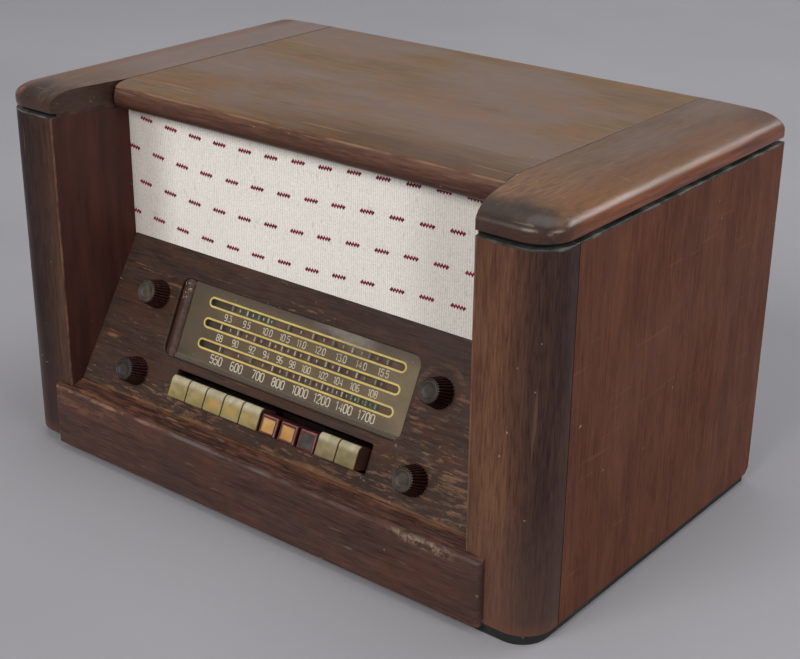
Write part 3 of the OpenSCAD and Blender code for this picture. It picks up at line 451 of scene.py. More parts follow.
def top_material():
    """Bleached board of the top: grey brown with warm rubbed patches, red brown on its nose below a pale arris."""
    s = wood("worn_top", (84, 64, 46), (104, 82, 59), (122, 97, 71), "x", 0.4, 0.44, 0.3, 0.26, 0.8)
    s.smear((110, 95, 90), 0.55, (6, 11, 5), 0.42, 0.60)
    warm = s.noise((11, 34, 8), 6, 0.64, 0.3, (8, 2, 1)).ease(0.52, 0.62)
    s.lay(warm * s.fine.fit(0.4, 0.6, 0.25, 0.6), (116, 84, 56))
    front = (s.y + s.streak.fit(0.3, 0.7, -0.008, 0.008)).ease(-0.090, -0.045, 1, 0)
    s.dim(front * s.x.ease(-0.100, 0.060, 0.25, 0.95), (0.62, 0.54, 0.44))
    nose = ((s.streak + s.fine) * 0.5).ramp(0.38, (66, 41, 31), 0.5, (84, 55, 42), 0.62, (100, 69, 53))
    # Painted shade: the nose's colour darkens towards its foot, where its face turns under.
    nose = s.mix(s.z.fit(0.288, 0.303, 0.75, 0), nose, (52, 29, 23))
    s.lay(s.y.ease(-0.0994, -0.0984, 1, 0), nose)
    worn = s.noise((18, 60, 60), 4, 0.6).fit(0.40, 0.54, 0.05, 0.55)
    s.lay(s.y.band(-0.0997, -0.0992, 0.0004) * s.z.fit(0.3035, 0.3045) * worn, (142, 110, 82))
    s.scratches((150, 128, 106), 0.25, (0, 0, 12), 0.71)
    s.specks((160, 138, 112), 0.3)
    rough = s.noise((9, 14, 9), 4, 0.6).fit(0.35, 0.65, 0.36, 0.54)
    return s.done(s.streak - s.hole * 0.5, 0.10, 0.15, Roughness=rough)


def cap_material():
    """End caps: the top's grey brown, orange brown down the outer edge, dark and rubbed at the front corners."""
    s = wood("worn_cap", (70, 51, 35), (91, 68, 48), (108, 83, 60), "y", 1.7, 0.38, 0.3, 0.4)
    s.smear((99, 82, 73), 0.5, (12, 6, 5), 0.46, 0.64, (1, 4, 2))
    left = s.x.fit(-0.01, 0.01, 1, 0)
    s.lay(left * s.y.ease(-0.11, -0.03) * 0.5, (122, 106, 99))
    golden = s.y.ease(-0.100, -0.030, 1, 0).less(left) * s.fine.fit(0.36, 0.64, 0.5, 0.9)
    s.lay(golden, s.fine.ramp(0.36, (91, 62, 38), 0.64, (123, 86, 50)))
    brink = abs(s.x).band(0.236, 0.250, 0.012)
    s.lay(brink * s.fine.fit(0.36, 0.64, 0.25, 0.65), (104, 66, 35))
    side = s.streak.ramp(0.36, (80, 36, 16), 0.5, (108, 54, 26), 0.64, (132, 75, 38))
    s.lay(s.z.ease(0.2990, 0.3070, 1, 0) * 0.9, side)
    s.lay(brink * s.y.ease(0.110, 0.158, 0, 0.6), (66, 48, 42))
    ragged = s.noise((30, 22, 30), 5, 0.6, 0.3, (4, 1, 3)).fit(0.3, 0.7, -0.012, 0.012)
    front = (s.y + ragged).ease(-0.141, -0.114, 1, 0)
    grey = s.noise((70, 30, 60), 6, 0.66, 0.3).ramp(0.36, (29, 23, 19), 0.52, (44, 35, 29), 0.64, (74, 57, 43))
    brown = s.fine.ramp(0.36, (42, 28, 23), 0.64, (66, 45, 36))
    s.lay(front * 0.9, s.mix(s.z.ease(0.2965, 0.3020, 0.8, 0), grey, brown))
    patch = s.noise((60, 60, 90), 5, 0.64, 0.2, (7, 2, 1)).fit(0.44, 0.54)
    s.lay(front * s.x.ease(-0.244, -0.236, 1, 0) * patch * 0.7, (132, 76, 48))
    s.lay(recess_side(s), s.fine.ramp(0.36, (47, 32, 26), 0.64, (62, 43, 35)))
    seam(s, abs(s.x), GRILLE_X * MM, 0.0008)
    s.scratches((150, 126, 102), 0.25, (0, 0, 82), 0.71)
    s.specks((176, 150, 120), 0.4, 260)
    rough = s.noise((14, 9, 9), 4, 0.6).fit(0.35, 0.65, 0.27, 0.38)
    return s.done(s.streak - s.hole * 0.5, 0.08, 0.15, Roughness=rough)


def post_material():
    """Posts: brown front with a dark stain down the round corner, dark red cheeks, the left one darker."""
    s = wood("post_wood", (70, 44, 33), (93, 62, 47), (115, 81, 59), "z", 2.9, 0.40)
    s.smear((76, 46, 37), 0.4, (40, 40, 4), 0.46, 0.6)
    wave = s.noise((1, 1, 14), 3, 0.5).fit(0.3, 0.7, -0.003, 0.003)
    across = abs(s.x) + wave + s.x.fit(-0.01, 0.01, 0.021, 0)
    stripe = across.ease(0.2320, 0.2335, 0, 0.4) + across.ease(0.2335, 0.2530, 0, 0.55)
    streaked = s.noise((90, 90, 6), 5, 0.62).fit(0.34, 0.58, 0.75, 1)
    s.lay(stripe * streaked, s.fine.ramp(0.36, (40, 27, 26), 0.64, (60, 42, 39)))
    s.lay(s.z.fit(0.03, 0.12, 0.35, 0), (92, 70, 62))
    inner = recess_side(s)
    s.dim(s.x.fit(-0.19, -0.18, 1, 0).less(inner), (0.60, 0.62, 0.66))
    s.lay(s.z.ease(0.008, 0.020, 1, 0) * 0.4, (108, 70, 54))
    s.scratches((120, 92, 78), 0.3, (0, 84, 0), 0.72, (2, 2, 2), (260, 260, 12))
    red = s.noise((90, 90, 10), 5, 0.62).ramp(0.36, (53, 32, 29), 0.64, (71, 42, 36))
    warm = s.y.fit(-0.135, -0.095) * s.noise((30, 30, 8), 4).fit(0.4, 0.6)
    s.lay(inner, s.mix(warm * 0.4, red, (82, 40, 32)))
    arris = abs(s.x).band(0.2016, 0.2036, 0.0006) * s.y.fit(-0.1532, -0.1524, 1, 0)
    s.lay(arris * s.noise((60, 60, 30), 5, 0.64).fit(0.42, 0.58, 0, 0.6), (122, 90, 66))
    s.specks((168, 150, 138), 0.6, 200, 0.79)
    seam(s, s.y, POST_SEAM)
    shoulder(s)
    rough = s.noise((20, 20, 6), 4, 0.6).fit(0.35, 0.65, 0.28, 0.46)
    return s.done(s.streak, 0.10, 0.15, Roughness=rough)


def side_material():
    """Plain sides of warm brown veneer with an even fine grain and a few scratches."""
    s = wood("side_wood", (74, 40, 26), (90, 51, 34), (106, 63, 44), "z", 5.3, 0.44, 0.6, 0.12, 1.45)
    s.smear((106, 67, 47), 0.3, (26, 26, 9), 0.45, 0.62, (3, 7, 1))
    s.smear((76, 42, 30), 0.35, (50, 50, 12), 0.48, 0.62, (6, 2, 4))
    s.scratches((138, 96, 74), 0.2, (52, 0, 0), 0.74, (1, 1, 4), (260, 16, 260))
    s.scratches((134, 94, 74), 0.18, (78, 0, 0), 0.74, (6, 3, 1), (260, 16, 260))
    s.specks((160, 140, 124), 0.6, 170, 0.80)
    seam(s, s.y, POST_SEAM)
    shoulder(s)
    rough = s.noise((8, 8, 8), 5, 0.6).fit(0.35, 0.65, 0.36, 0.52)
    return s.done(s.streak - s.hole * 0.6, 0.12, 0.15, Roughness=rough)


def knob_ring(s, drop):
    """Mask of a rubbed ring round a right-hand knob on the sloped panel."""
    inner, outer, soft = 17.5 * MM, 20.5 * MM, 1.5 * MM
    dx = s.x - KNOB["x"] * MM
    along = (s.z - panel(0, -drop, 0).z) * (1 / math.cos(TILT))
    return (dx * dx + along * along).math("SQRT").band(inner, outer, soft)


def panel_material():
    """Dark stained panel, rubbed through to orange wood in ragged streaks near the rail and on the right."""
    s = wood("panel_wood", (40, 29, 25), (57, 42, 36), (75, 56, 47), "x", 7.1, 0.42, 0.5, 0.14)
    s.smear((66, 53, 47), 0.4, lo=0.45, hi=0.65)
    s.smear((78, 48, 34), 0.35, (16, 60, 60), 0.5, 0.62, (2, 9, 4))
    torn = s.noise((64, 320, 320), 7, 0.70, 0.3, (1, 2, 3))
    cloud = s.noise((15, 36, 36), 4, 0.6, 0.3, (5, 2, 3))
    right = s.x.fit(0.080, 0.140, 0, 0.085) * s.z.band(0.084, 0.126, 0.016)
    gain = s.z.fit(0.0645, 0.100, 0.12, 0) + right + cloud.fit(0.35, 0.65, -0.07, 0.06)
    wear = (torn + gain).fit(0.635, 0.665)
    s.lay(wear * 0.7, s.fine.ramp(0.38, (86, 60, 44), 0.52, (110, 80, 60), 0.64, (130, 99, 75)))
    edge = s.noise((24, 60, 60), 4).fit(0.3, 0.7, -0.003, 0.003)
    s.lay((s.z + edge).fit(0.0650, 0.0670, 1, 0) * 0.6, (116, 82, 58))
    for drop in DROPS:
        s.lay(knob_ring(s, drop) * torn.fit(0.46, 0.58) * 0.4, (106, 80, 62))
    s.scratches((120, 84, 60), 0.5, (0, 8, 0), 0.70, (2, 5, 1), (24, 260, 260))
    s.specks((150, 124, 96), 0.4, 240)
    return s.done(s.streak * 0.4 - wear * 0.35, 0.25, 0.2, Roughness=wear.fit(0, 1, 0.36, 0.62))


def rail_material():
    """Scuffed front rail: mottled face, edge rubbed pale at left, painted highlight along its middle, dark red slope.
    """
    s = wood("rail_wood", (54, 37, 33), (73, 51, 45), (92, 67, 58), "x", 9.7, 0.42, 0.35, 0.14)
    s.smear((88, 55, 43), 0.4, (16, 34, 34), 0.46, 0.62)
    s.smear((60, 47, 44), 0.45, (10, 18, 18), 0.46, 0.60, (7, 1, 2))
    ragged = s.noise((30, 130, 130), 7, 0.70, 0.3)
    slope = ((s.streak + s.fine) * 0.5).ramp(0.40, (40, 26, 22), 0.5, (59, 38, 31), 0.60, (80, 53, 42))
    torn = s.noise((34, 300, 300), 7, 0.68, 0.3, (1, 2, 3)).fit(0.54, 0.58, 0, 0.45)
    s.lay(s.z.fit(0.0572, 0.0588), s.mix(torn, slope, (112, 74, 54)))
    edge = s.z.band(0.0568, 0.0578, 0.0007) * ragged.fit(0.42, 0.56)
    # Pale at the left is rubbed wood; the grey along the middle is a painted highlight on the rounded edge.
    worn = s.mix(s.x.ease(-0.150, -0.060), (150, 116, 92), (98, 90, 90))
    s.lay(edge * s.x.fit(0, 0.12, 0.7, 0.3), worn)
    chip = s.z.band(0.0525, 0.0572, 0.002) * s.x.band(0.152, 0.184, 0.018)
    s.lay(chip * s.noise((150, 260, 220), 5, 0.66, 0.6).fit(0.47, 0.55) * 0.55, (142, 123, 100))
    left = s.x.fit(-0.205, -0.08, 1, 0) * s.z.band(0.045, 0.0575, 0.006) * ragged.fit(0.50, 0.58)
    s.lay(left * 0.6, (126, 88, 64))
    s.lay(s.z.fit(0.0632, 0.0640) * ragged.fit(0.42, 0.54) * 0.5, (118, 82, 56))
    s.scratches((134, 112, 98), 0.4, (0, 50, 0), 0.71, (1, 3, 1), (24, 250, 250))
    s.scratches((118, 82, 64), 0.45, (0, 28, 0), 0.71, (4, 3, 7), (24, 250, 250))
    s.specks((150, 116, 92), 0.5, 200)
    return s.done(s.streak * 0.4 - edge * 0.4, 0.2, 0.2, Roughness=ragged.fit(0.35, 0.6, 0.38, 0.55))


def base_material():
    """Black base board with worn edges."""
    stops = (0.36, (24, 25, 23), 0.56, (38, 39, 36), 0.72, (66, 58, 50))
    s = toned("base_black", 0.5, 0.4, ((30, 30, 60), 5, 0.6, 0.3), *stops)
    s.specks((120, 104, 88), 0.5, 260)
    return s.done(s.cloud, 0.25, 0.3)


def ledge_material():
    """Black groove below the caps; where it shows in the recess it is plain wood."""
    stops = (0.34, (12, 12, 11), 0.56, (22, 23, 21), 0.72, (38, 38, 34))
    s = toned("ledge_black", 0.5, 0.25, ((40, 40, 200), 5, 0.6, 0.3), *stops)
    s.lay(recess_side(s), s.noise((90, 90, 6), 4, 0.6).ramp(0.36, (46, 30, 25), 0.64, (74, 48, 38)))
    return s.done(s.cloud, 0.2, 0.2)


def cloth_material():
    """Ribbed cotton: fine upright cords crossed by finer threads, with slubs, soiling and painted shade at both ends.
    """
    s = Shader("grille_fabric", 0.9, 0.1)
    wander = s.noise((60, 60, 30)).fit(0.3, 0.7, -0.0009, 0.0009)
    cord_pitch, weft_pitch = 0.0019, 0.0013
    cord = ((s.x + wander) * (2 * math.pi / cord_pitch)).math("SINE")
    weft = ((s.z + wander) * (2 * math.pi / weft_pitch)).math("SINE")
    twist = s.noise((900, 900, 1100), 3, 0.6).fit(0.3, 0.7, 0.38, 0.62)
    height = cord * 0.10 + weft * 0.06 + twist
    s.base = height.ramp(0.3, (204, 198, 190), 0.5, (232, 227, 219), 0.7, (246, 243, 236))
    s.lay(s.noise((9, 9, 14), 4, 0.6).fit(0.45, 0.7, 0, 0.15), (206, 194, 178))
    s.lay(s.noise((420, 420, 130), 3, 0.6, 0, (2, 2, 2)).fit(0.60, 0.72, 0, 0.4), (188, 178, 166))
    # Painted shade: the cloth darkens towards both ends, where the cheeks shade it.
    s.dim(s.x.ease(-0.172, -0.132, 0.9, 0).max(s.x.ease(0.080, 0.130, 0, 0.55)), (0.62, 0.60, 0.59))
    return s.done(height, 0.3, 0.3, Sheen_Weight=0.1)


def thread_material():
    s = toned("red_thread", 0.75, 0.2, ((300, 300, 300), 3, 0.6), 0.36, (96, 18, 36), 0.62, (136, 38, 58))
    return s.done(s.noise(1500), 0.4, 0.2)


# Pieces of the case


def make_posts(mat):
    web, cheek = 4.0, 14.0
    outline = [(RECESS_X, 0.0)] + arc(HALF_W - CORNER_R, CORNER_R, CORNER_R, -90, 0, 28)
    outline += [(HALF_W, POST_D), (HALF_W - SIDE_T - web, POST_D), (RECESS_X + cheek / 2, POST_D + web)]
    outline += [(GRILLE_X + cheek, GRILLE_Y), (GRILLE_X, GRILLE_Y)]
    pair("post_wood", "post", *prism(outline, BASE_T, POST_TOP), mat, slot="post_wood", bevel=0.7)


def make_sides(mat):
    heel = 5.0
    outline = [(POST_D, BASE_T), (BODY_D - heel, BASE_T), (BODY_D, BASE_T + heel)]
    outline += [(BODY_D, POST_TOP), (POST_D, POST_TOP)]
    pair("side_wood", "side_panel", *prism(outline, HALF_W - SIDE_T, HALF_W, "x"), mat, slot="side_wood", bevel=0.7)


def cap_ring(inset, z):
    """Plan of a cap at a height, drawn in from its front and outer side."""
    r, rear = max(CORNER_R - inset, 0.4), 3.0
    plan = [(recess_at(inset), inset)] + arc(HALF_W - inset - r, inset + r, r, -90, 0, 24)
    plan += arc(HALF_W - inset - rear, BODY_D - rear, rear, 0, 90, 8) + [(GRILLE_X, BODY_D), (GRILLE_X, GRILLE_Y)]
    return [(x, y, z) for x, y in plan]


def make_caps(mat):
    """Caps with a broad rounded edge that runs into a slightly crowned top."""
    wide, high, crown, reach, steps = 22.0, 9.6, 2.0, 65.0, 14

    def level(inset, fall):
        return cap_ring(inset, HEIGHT - fall - crown * (1 - inset / reach) ** 2)

    foot = ((1.1, 0.0), (0.3, 0.4), (0.0, 1.4))
    rings = [cap_ring(inset, CAP_Z + rise) for inset, rise in foot]
    for i in range(steps + 1):
        a = math.radians(90 * i / steps)
        rings.append(level(wide * (1 - math.cos(a)), high * (1 - math.sin(a))))
    rings += [level(inset, 0.0) for inset in (28.0, 36.0, 45.0, 55.0)]
    pair("cap_wood", "cap", *loft(rings), mat, slot="cap_wood", smooth=28)


def make_top(mat):
    """Centre board: its top falls a little towards a bowed nose with a worn upper edge."""
    nose, deep, low, r, gap = 51.5, 77.5, HEIGHT - 21.5, 8.0, 0.3
    fall = [(68, 0.0), (64, 0.3), (60, 0.9), (57, 1.7), (55.2, 2.6), (54.2, 3.6), (53.4, 5.0)]
    fall += [(52.6, 7.2), (52.0, 9.5), (51.6, 11.5)]
    outline = [(y, HEIGHT - drop) for y, drop in fall] + arc(nose + r, low + r, r, 180, 270, 12)
    outline += [(deep, low), (deep, CAP_Z), (BODY_D, CAP_Z), (BODY_D, HEIGHT)]
    half = GRILLE_X - gap
    piece("top_wood", *prism(outline[::-1], -half, half, "x"), mat, replaces=["top_panel"], slot="top_wood", bevel=0.5)


def make_rail(mat):
    """Rail in front of the posts, its front corners rounded, and the block behind it between the cheeks."""
    proud, lift, front_z, edge_r, half, corner = 6.5, 6.5, 57.0, 3.0, 219.0, 4.5
    foot_y, foot_z = PANEL_FOOT
    bevel = math.degrees(math.atan2(foot_z - front_z, foot_y + proud))
    drop = edge_r * math.tan(math.radians((90 - bevel) / 2))
    rounding = arc(-proud + edge_r, front_z - drop, edge_r, 180, 90 + bevel, 10)
    at_post = front_z + proud * math.tan(math.radians(bevel))
    plate = [(-proud, lift)] + rounding + [(0.0, at_post), (0.0, lift)]
    ends = []
    for a in range(0, 91, 15):
        x = half - corner * (1 - math.cos(math.radians(a)))
        ends.append((x, -proud + corner * (1 - math.sin(math.radians(a)))))
    rings = [[(x, max(y, front), z) for y, z in plate[::-1]] for x, front in [(-x, f) for x, f in ends] + ends[::-1]]
    rail = piece("rail_wood", *loft(rings), mat, replaces=["front_rail"], slot="rail_wood", bevel=0.8)
    rail.modifiers["edges"].segments = 2
    back_y, back_z = foot_y + PANEL_T * math.cos(TILT), foot_z - PANEL_T * math.sin(TILT)
    block = [(0.0, BASE_T), (0.0, at_post), (foot_y, foot_z), (back_y, back_z), (back_y, BASE_T)]
    verts, faces = prism(block[::-1], -1.0, 1.0, "x")
    verts = [(x * (recess_at(max(y, 0.0)) - 0.2), y, z) for x, y, z in verts]
    piece("rail_block_wood", verts, faces, mat, slot="rail_wood")


def make_panel(mat):
    """Sloped board with openings for the dial, the buttons and the four shafts."""
    gap = 0.2
    top_half, foot_half = recess_at(GRILLE_Y) - gap, recess_at(PANEL_FOOT[0]) - gap
    loops = [
        [(-foot_half, -PANEL_L), (foot_half, -PANEL_L), (top_half, 0.0), (-top_half, 0.0)],
        round_rect(DIAL["w"], DIAL["h"], DIAL["r"], DIAL["x"], -DIAL["drop"] - DIAL["h"] / 2),
        round_rect(SLOT["w"], SLOT["h"], SLOT["r"], 0.0, -SLOT["drop"] - SLOT["h"] / 2, 4),
    ]
    for x in (-KNOB["x"], KNOB["x"]):
        for drop in DROPS:
            loops.append(arc(x, -drop, KNOB["hole_r"], 0, 345, 23))
    board = holed_plate("panel_board", loops, -PANEL_T, 0.0, 0.7)
    dress(board, mat, replaces=["control_panel"], slot="panel_wood", smooth=40)


def make_base(mat):
    """Black base, set in a little all round and cut back out of sight below the left post."""
    inset, front, cut, cut_foot, cut_mid, cut_end = 3.0, 1.0, 19.0, 14.0, 42.0, 80.0
    r, x, back = CORNER_R - inset, HALF_W - inset, BODY_D - inset
    outline = [(-x, cut_end), (-x + cut, cut_mid), (-RECESS_X - cut_foot, cut), (-RECESS_X, front)]
    outline += arc(x - r, front + r, r, 270, 360, 14) + [(x, back), (-x, back)]
    piece("base", *prism(outline, 0.0, BASE_T), mat, replaces=["base_board"], slot="base_black", bevel=0.6)


# Cloth


# Height of each row at its lowest, place of its first dash and pitch
ROWS = (
    (275.1, -167.0, 26.85),
    (247.8, -183.0, 27.0),
    (220.5, -171.5, 27.2),
    (193.1, -186.0, 27.4),
    (166.0, -171.5, 27.2),
)


def drape(x):
    """Rise of the cloth's rows towards both ends, where it was pulled up in fitting."""
    if x < -75:
        return 0.0006 * (x + 75) ** 2
    t = min(1.0, (x + 75) / 230)
    return 9.5 * t * t * (3 - 2 * t)


def dash(x, z):
    """One embroidered dash: threads laid up and down across it in a tight zigzag."""
    teeth, half, up = 9, 6.0, 1.0
    places = [x - half + 2 * half * i / teeth for i in range(teeth + 1)]
    return [(at, z + drape(at) + (up if i % 2 else -up)) for i, at in enumerate(places)]


def cloth_place(x, y, z):
    return cabinet(x, GRILLE_Y - z, y)


def make_cloth(mat, thread):
    w, h, foot, gap, thick, nx, nz, dashes = 196.5, 138.0, 150.0, 0.05, 0.5, 48, 20, 14
    verts = [(-w + 2 * w * i / nx, GRILLE_Y + gap, foot + h * j / nz) for j in range(nz + 1) for i in range(nx + 1)]
    corners = [j * (nx + 1) + i for j in range(nz) for i in range(nx)]
    faces = [(a, a + 1, a + nx + 2, a + nx + 1) for a in corners]
    cloth = piece("cloth", verts, faces, mat, replaces=["grille_cloth"], slot="grille_fabric", smooth=60)
    solid = cloth.modifiers.new("thickness", "SOLIDIFY")
    solid.thickness = thick * MM
    solid.offset = -1.0
    rng = random.Random(7)
    lines = []
    for z, first, pitch in ROWS:
        for k in range(dashes):
            x = first + pitch * k + rng.uniform(-0.5, 0.5)
            lines.append(dash(x, z + rng.uniform(-0.4, 0.4)))
    stitches = strokes("stitches", lines, 2.3, 0.15, 0.7, cloth_place)
    dress(stitches, thread, slot="grille_fabric", smooth=60)


# The dial


DIGITS = {
    "0": [[(0, 15), (0, 85), (14, 100), (36, 100), (50, 85), (50, 15), (36, 0), (14, 0), (0, 15)]],
    "1": [[(12, 80), (30, 100), (30, 0)]],
    "2": [[(0, 80), (0, 88), (14, 100), (36, 100), (50, 86), (50, 66), (0, 0), (50, 0)]],
    "3": [[(0, 100), (48, 100), (22, 60), (38, 58), (50, 44), (50, 14), (36, 0), (12, 0), (0, 14)]],
    "4": [[(40, 0), (40, 100), (0, 30), (52, 30)]],
    "5": [[(48, 100), (4, 100), (0, 56), (36, 60), (50, 46), (50, 14), (36, 0), (12, 0), (0, 14)]],
    "6": [[(42, 100), (12, 100), (0, 88), (0, 14), (14, 0), (36, 0), (50, 14), (50, 42), (36, 56), (0, 54)]],
    "7": [[(0, 100), (50, 100), (18, 0)]],
    "8": [
        [(14, 54), (2, 66), (2, 88), (14, 100), (36, 100), (48, 88), (48, 66), (36, 54), (14, 54)],
        [(14, 54), (0, 42), (0, 14), (14, 0), (36, 0), (50, 14), (50, 42), (36, 54)],
    ],
    "9": [[(8, 0), (38, 0), (50, 12), (50, 86), (36, 100), (14, 100), (0, 86), (0, 58), (14, 44), (50, 46)]],
    ".": [[(3, 4), (9, 4)]],
}
SMALL, LARGE = 5.1, 6.5
# Each scale's place down the panel, height of its numbers, places of the numbers and of the ticks
SCALES = (
    (
        -42.9,
        SMALL,
        {"9.3": -68, "9.5": -48, "10.0": -26, "10.5": -8, "11.0": 9, "12.0": 28, "13.0": 48.5, "14.0": 68, "15.5": 89},
        (-66, -58, -50, -44, -38, -33, -28, -24.5, -7, 6, 18, 29, 38, 48, 57, 66, 73, 81, 90.5),
    ),
    (
        -59.8,
        SMALL,
        {
            "88": -71, "90": -54, "92": -36, "94": -21, "96": -7, "98": 6,
            "100": 20, "102": 37, "104": 52, "106": 68, "108": 85,
        },
        (-72, -62, -54, -44.5, -36, -29, -20, -14, -7.5, -1, 6, 12, 20, 28, 37, 44, 50, 58, 67, 74.5, 85, 90.5),
    ),
    (
        -77.2,
        LARGE,
        {"550": -68, "600": -46, "700": -23, "800": -2, "1000": 20.4, "1200": 42.2, "1400": 63.8, "1700": 85.2},
        (-67, -47, -34, -21, -11, -3, 4, 11, 17, 23, 28, 34, 39.5, 45, 50, 54, 59, 63.5, 68, 72, 75, 79, 82, 86, 91),
    ),
)
GLASS_DEPTH = 1.0
GLASS_T = 2.0
PLATE_TOP = -3.2
PLATE_BACK = -4.0
FLOOR = -8.6
FIT = 0.3  # gap round the plate, the glass and the strip in their opening
DIAL_TOP = -DIAL["drop"] - FIT
DIAL_FOOT = -DIAL["drop"] - DIAL["h"] + FIT
STRIP_RIGHT = DIAL["x"] - DIAL["w"] / 2 + DIAL["strip"]
ROW_Y = [-WINDOW["drop"] - i * WINDOW["pitch"] for i in range(3)]


def number_lines(text, x, y, high):
    """Strokes of a number centred at a place; y is its middle."""
    k, squeeze = high / 100.0, 0.97
    advance = [{".": 26, "1": 48}.get(c, 70) for c in text]
    pen = -(sum(advance) - 20) / 2
    lines = []
    for c, step in zip(text, advance):
        shift = -10 if c == "1" else 0
        for stroke in DIGITS[c]:
            lines.append([(x + (pen + shift + px) * k * squeeze, y + (py - 50) * k) for px, py in stroke])
        pen += step
    return lines


def pill(w, h, cx, cy, n=14):
    """Outline of a long window with half-round ends."""
    r = h / 2
    x = w / 2 - r
    return arc(cx + x, cy, r, -90, 90, n) + arc(cx - x, cy, r, 90, 270, n)


def dial_outline(edge=0.0):
    """Outline of the dial's face beside the strip, square on the left and round on the right."""
    left, bottom = STRIP_RIGHT + FIT, DIAL_FOOT + edge
    right, r = DIAL["x"] + DIAL["w"] / 2 - FIT, DIAL["r"] - FIT
    ends = arc(right - r, bottom + r, r, -90, 0, 8) + arc(right - r, DIAL_TOP - r, r, 0, 90, 8)
    return [(left, DIAL_TOP), (left, bottom)] + ends


def make_dial_plate(mat):
    loops = [dial_outline()] + [pill(WINDOW["w"], WINDOW["h"], WINDOW["x"], y) for y in ROW_Y]
    plate = holed_plate("dial_face", loops, PLATE_BACK, PLATE_TOP)
    dress(plate, mat, replaces=["dial_plate"], slot="dial_print", smooth=None)


def make_window_lines(mat):
    """Raised yellow outline of each window."""
    parts, wide, low, high = [], 1.5, PLATE_TOP + 0.01, PLATE_TOP + 0.14
    for cy in ROW_Y:
        rings = []
        for grow, z in ((0.0, low), (0.0, high), (wide, high), (wide, low)):
            loop = pill(WINDOW["w"] + grow * 2, WINDOW["h"] + grow * 2, WINDOW["x"], cy)
            rings.append([(x, y, z) for x, y in loop])
        verts, faces = loft(rings, closed=False)
        n = len(rings[0])
        faces += [(j, (j + 1) % n, 3 * n + (j + 1) % n, 3 * n + j) for j in range(n)]
        parts.append((verts, faces))
    piece("window_outlines", *join(parts), mat, place=panel, slot="dial_print", smooth=None)


def make_numerals(mat):
    for name, size, width in (("numerals_small", SMALL, 0.75), ("numerals_large", LARGE, 1.0)):
        rows = [(y, numbers) for y, high, numbers, _ in SCALES if high == size]
        lines = [line for y, numbers in rows for text, x in numbers.items() for line in number_lines(text, x, y, size)]
        dress(strokes(name, lines, width, PLATE_TOP + 0.1, 0.2), mat, slot="dial_print", smooth=50)


def make_ticks(pale, green):
    """Tick marks on the floor behind the windows, alternately long and short, set a little left of the numbers."""
    parts, left, green_from = {"pale": [], "green": []}, 1.9, 74
    levels = (PLATE_BACK - 1.2, PLATE_BACK - 0.9)
    for row, (_, _, _, ticks) in enumerate(SCALES):
        for k, x in enumerate(ticks):
            wide = k % 2 == 0
            w, h = (1.4, 4.0) if wide else (1.0, 2.2)
            tint = "green" if wide and (k + row) % 4 == 0 or x > green_from else "pale"
            outline = rect(w, h, x - left, ROW_Y[row])
            parts[tint].append(loft([[(a, b, z) for a, b in outline] for z in levels]))
    for tint, mat in (("pale", pale), ("green", green)):
        piece(f"ticks_{tint}", *join(parts[tint]), mat, place=panel, slot="dial_print", smooth=None)


def make_glass(mat):
    """Glass over the dial, its lower edge cut back in a long bevel with a step along it."""
    lip, top = 3.6, -GLASS_DEPTH
    rings = [[(x, y, z) for x, y in dial_outline()] for z in (top - GLASS_T, top - GLASS_T * 0.8)]
    for share, fall in ((1.0, 1.55), (0.62, 1.0), (0.35, 0.55), (0.0, 0.0)):
        rings.append([(x, y, top - fall) for x, y in dial_outline(lip * (1 - share))])
    piece("dial_cover", *loft(rings), mat, place=panel, replaces=["dial_glass"], slot="dial_glass", smooth=None)


def make_end_strip(mat):
    """Half-round strip beside the dial, with round left corners."""
    left, right = DIAL["x"] - DIAL["w"] / 2 + FIT, STRIP_RIGHT - FIT
    rise, shoulder_at, r, n = 2.7, 0.06, DIAL["r"] - FIT, 14
    rings = []
    for i in range(n + 1):
        x = left + (right - left) * i / n
        into = x - left
        cut = r - math.sqrt(max(0.0, r * r - (r - into) ** 2)) if into < r else 0.0
        top, foot = DIAL_TOP - cut, DIAL_FOOT + cut
        z = PLATE_TOP + rise * math.sin(math.pi * (shoulder_at + (1 - 2 * shoulder_at) * i / n))
        rings.append([(x, top, PLATE_TOP), (x, top, z), (x, foot, z), (x, foot, PLATE_TOP)])
    piece("end_strip", *loft(rings), mat, place=panel, replaces=["dial_end_strip"], slot="strip_brown", smooth=60)


def dial_print_material():
    """Printed dial: olive at the left, brown in the middle, lighter at the right, a pale grey patch at the upper
    right.
    """
    s = toned("dial_print", 0.5, 0.3, ((14, 22, 22), 5, 0.6, 0.3), 0.34, (52, 41, 28), 0.66, (76, 63, 45))
    s.lay(s.x.ease(-0.105, -0.060), s.cloud.ramp(0.34, (78, 61, 42), 0.66, (102, 83, 58)))
    s.lay(s.x.ease(0.050, 0.100), s.cloud.ramp(0.34, (92, 78, 56), 0.66, (120, 104, 77)))
    y = slope_y(s, PLATE_TOP)
    # Painted shadow: a darker band along the top of the face, where the opening's upper edge shades it.
    s.lay(y.ease(-34, -25, 0, 0.65), (68, 57, 51))
    s.lay(y.ease(-80, -66, 0.6, 0) * s.x.band(-0.070, 0.095, 0.03), (70, 57, 46))
    # A pale grey patch at the upper right of the face.
    pale_patch = s.noise((26, 60, 60), 5, 0.66, 0.4).fit(0.40, 0.60) * 0.6
    s.lay(y.band(-30, -24, 4) * s.x.band(0.030, 0.062, 0.02) * pale_patch, (142, 134, 132))
    s.specks((160, 148, 120), 0.35, 500, 0.75)
    s.specks((60, 50, 38), 0.4, 420, 0.75, (1, 9, 4))
    return s.done(s.noise(900, 2), 0.08, 0.1)


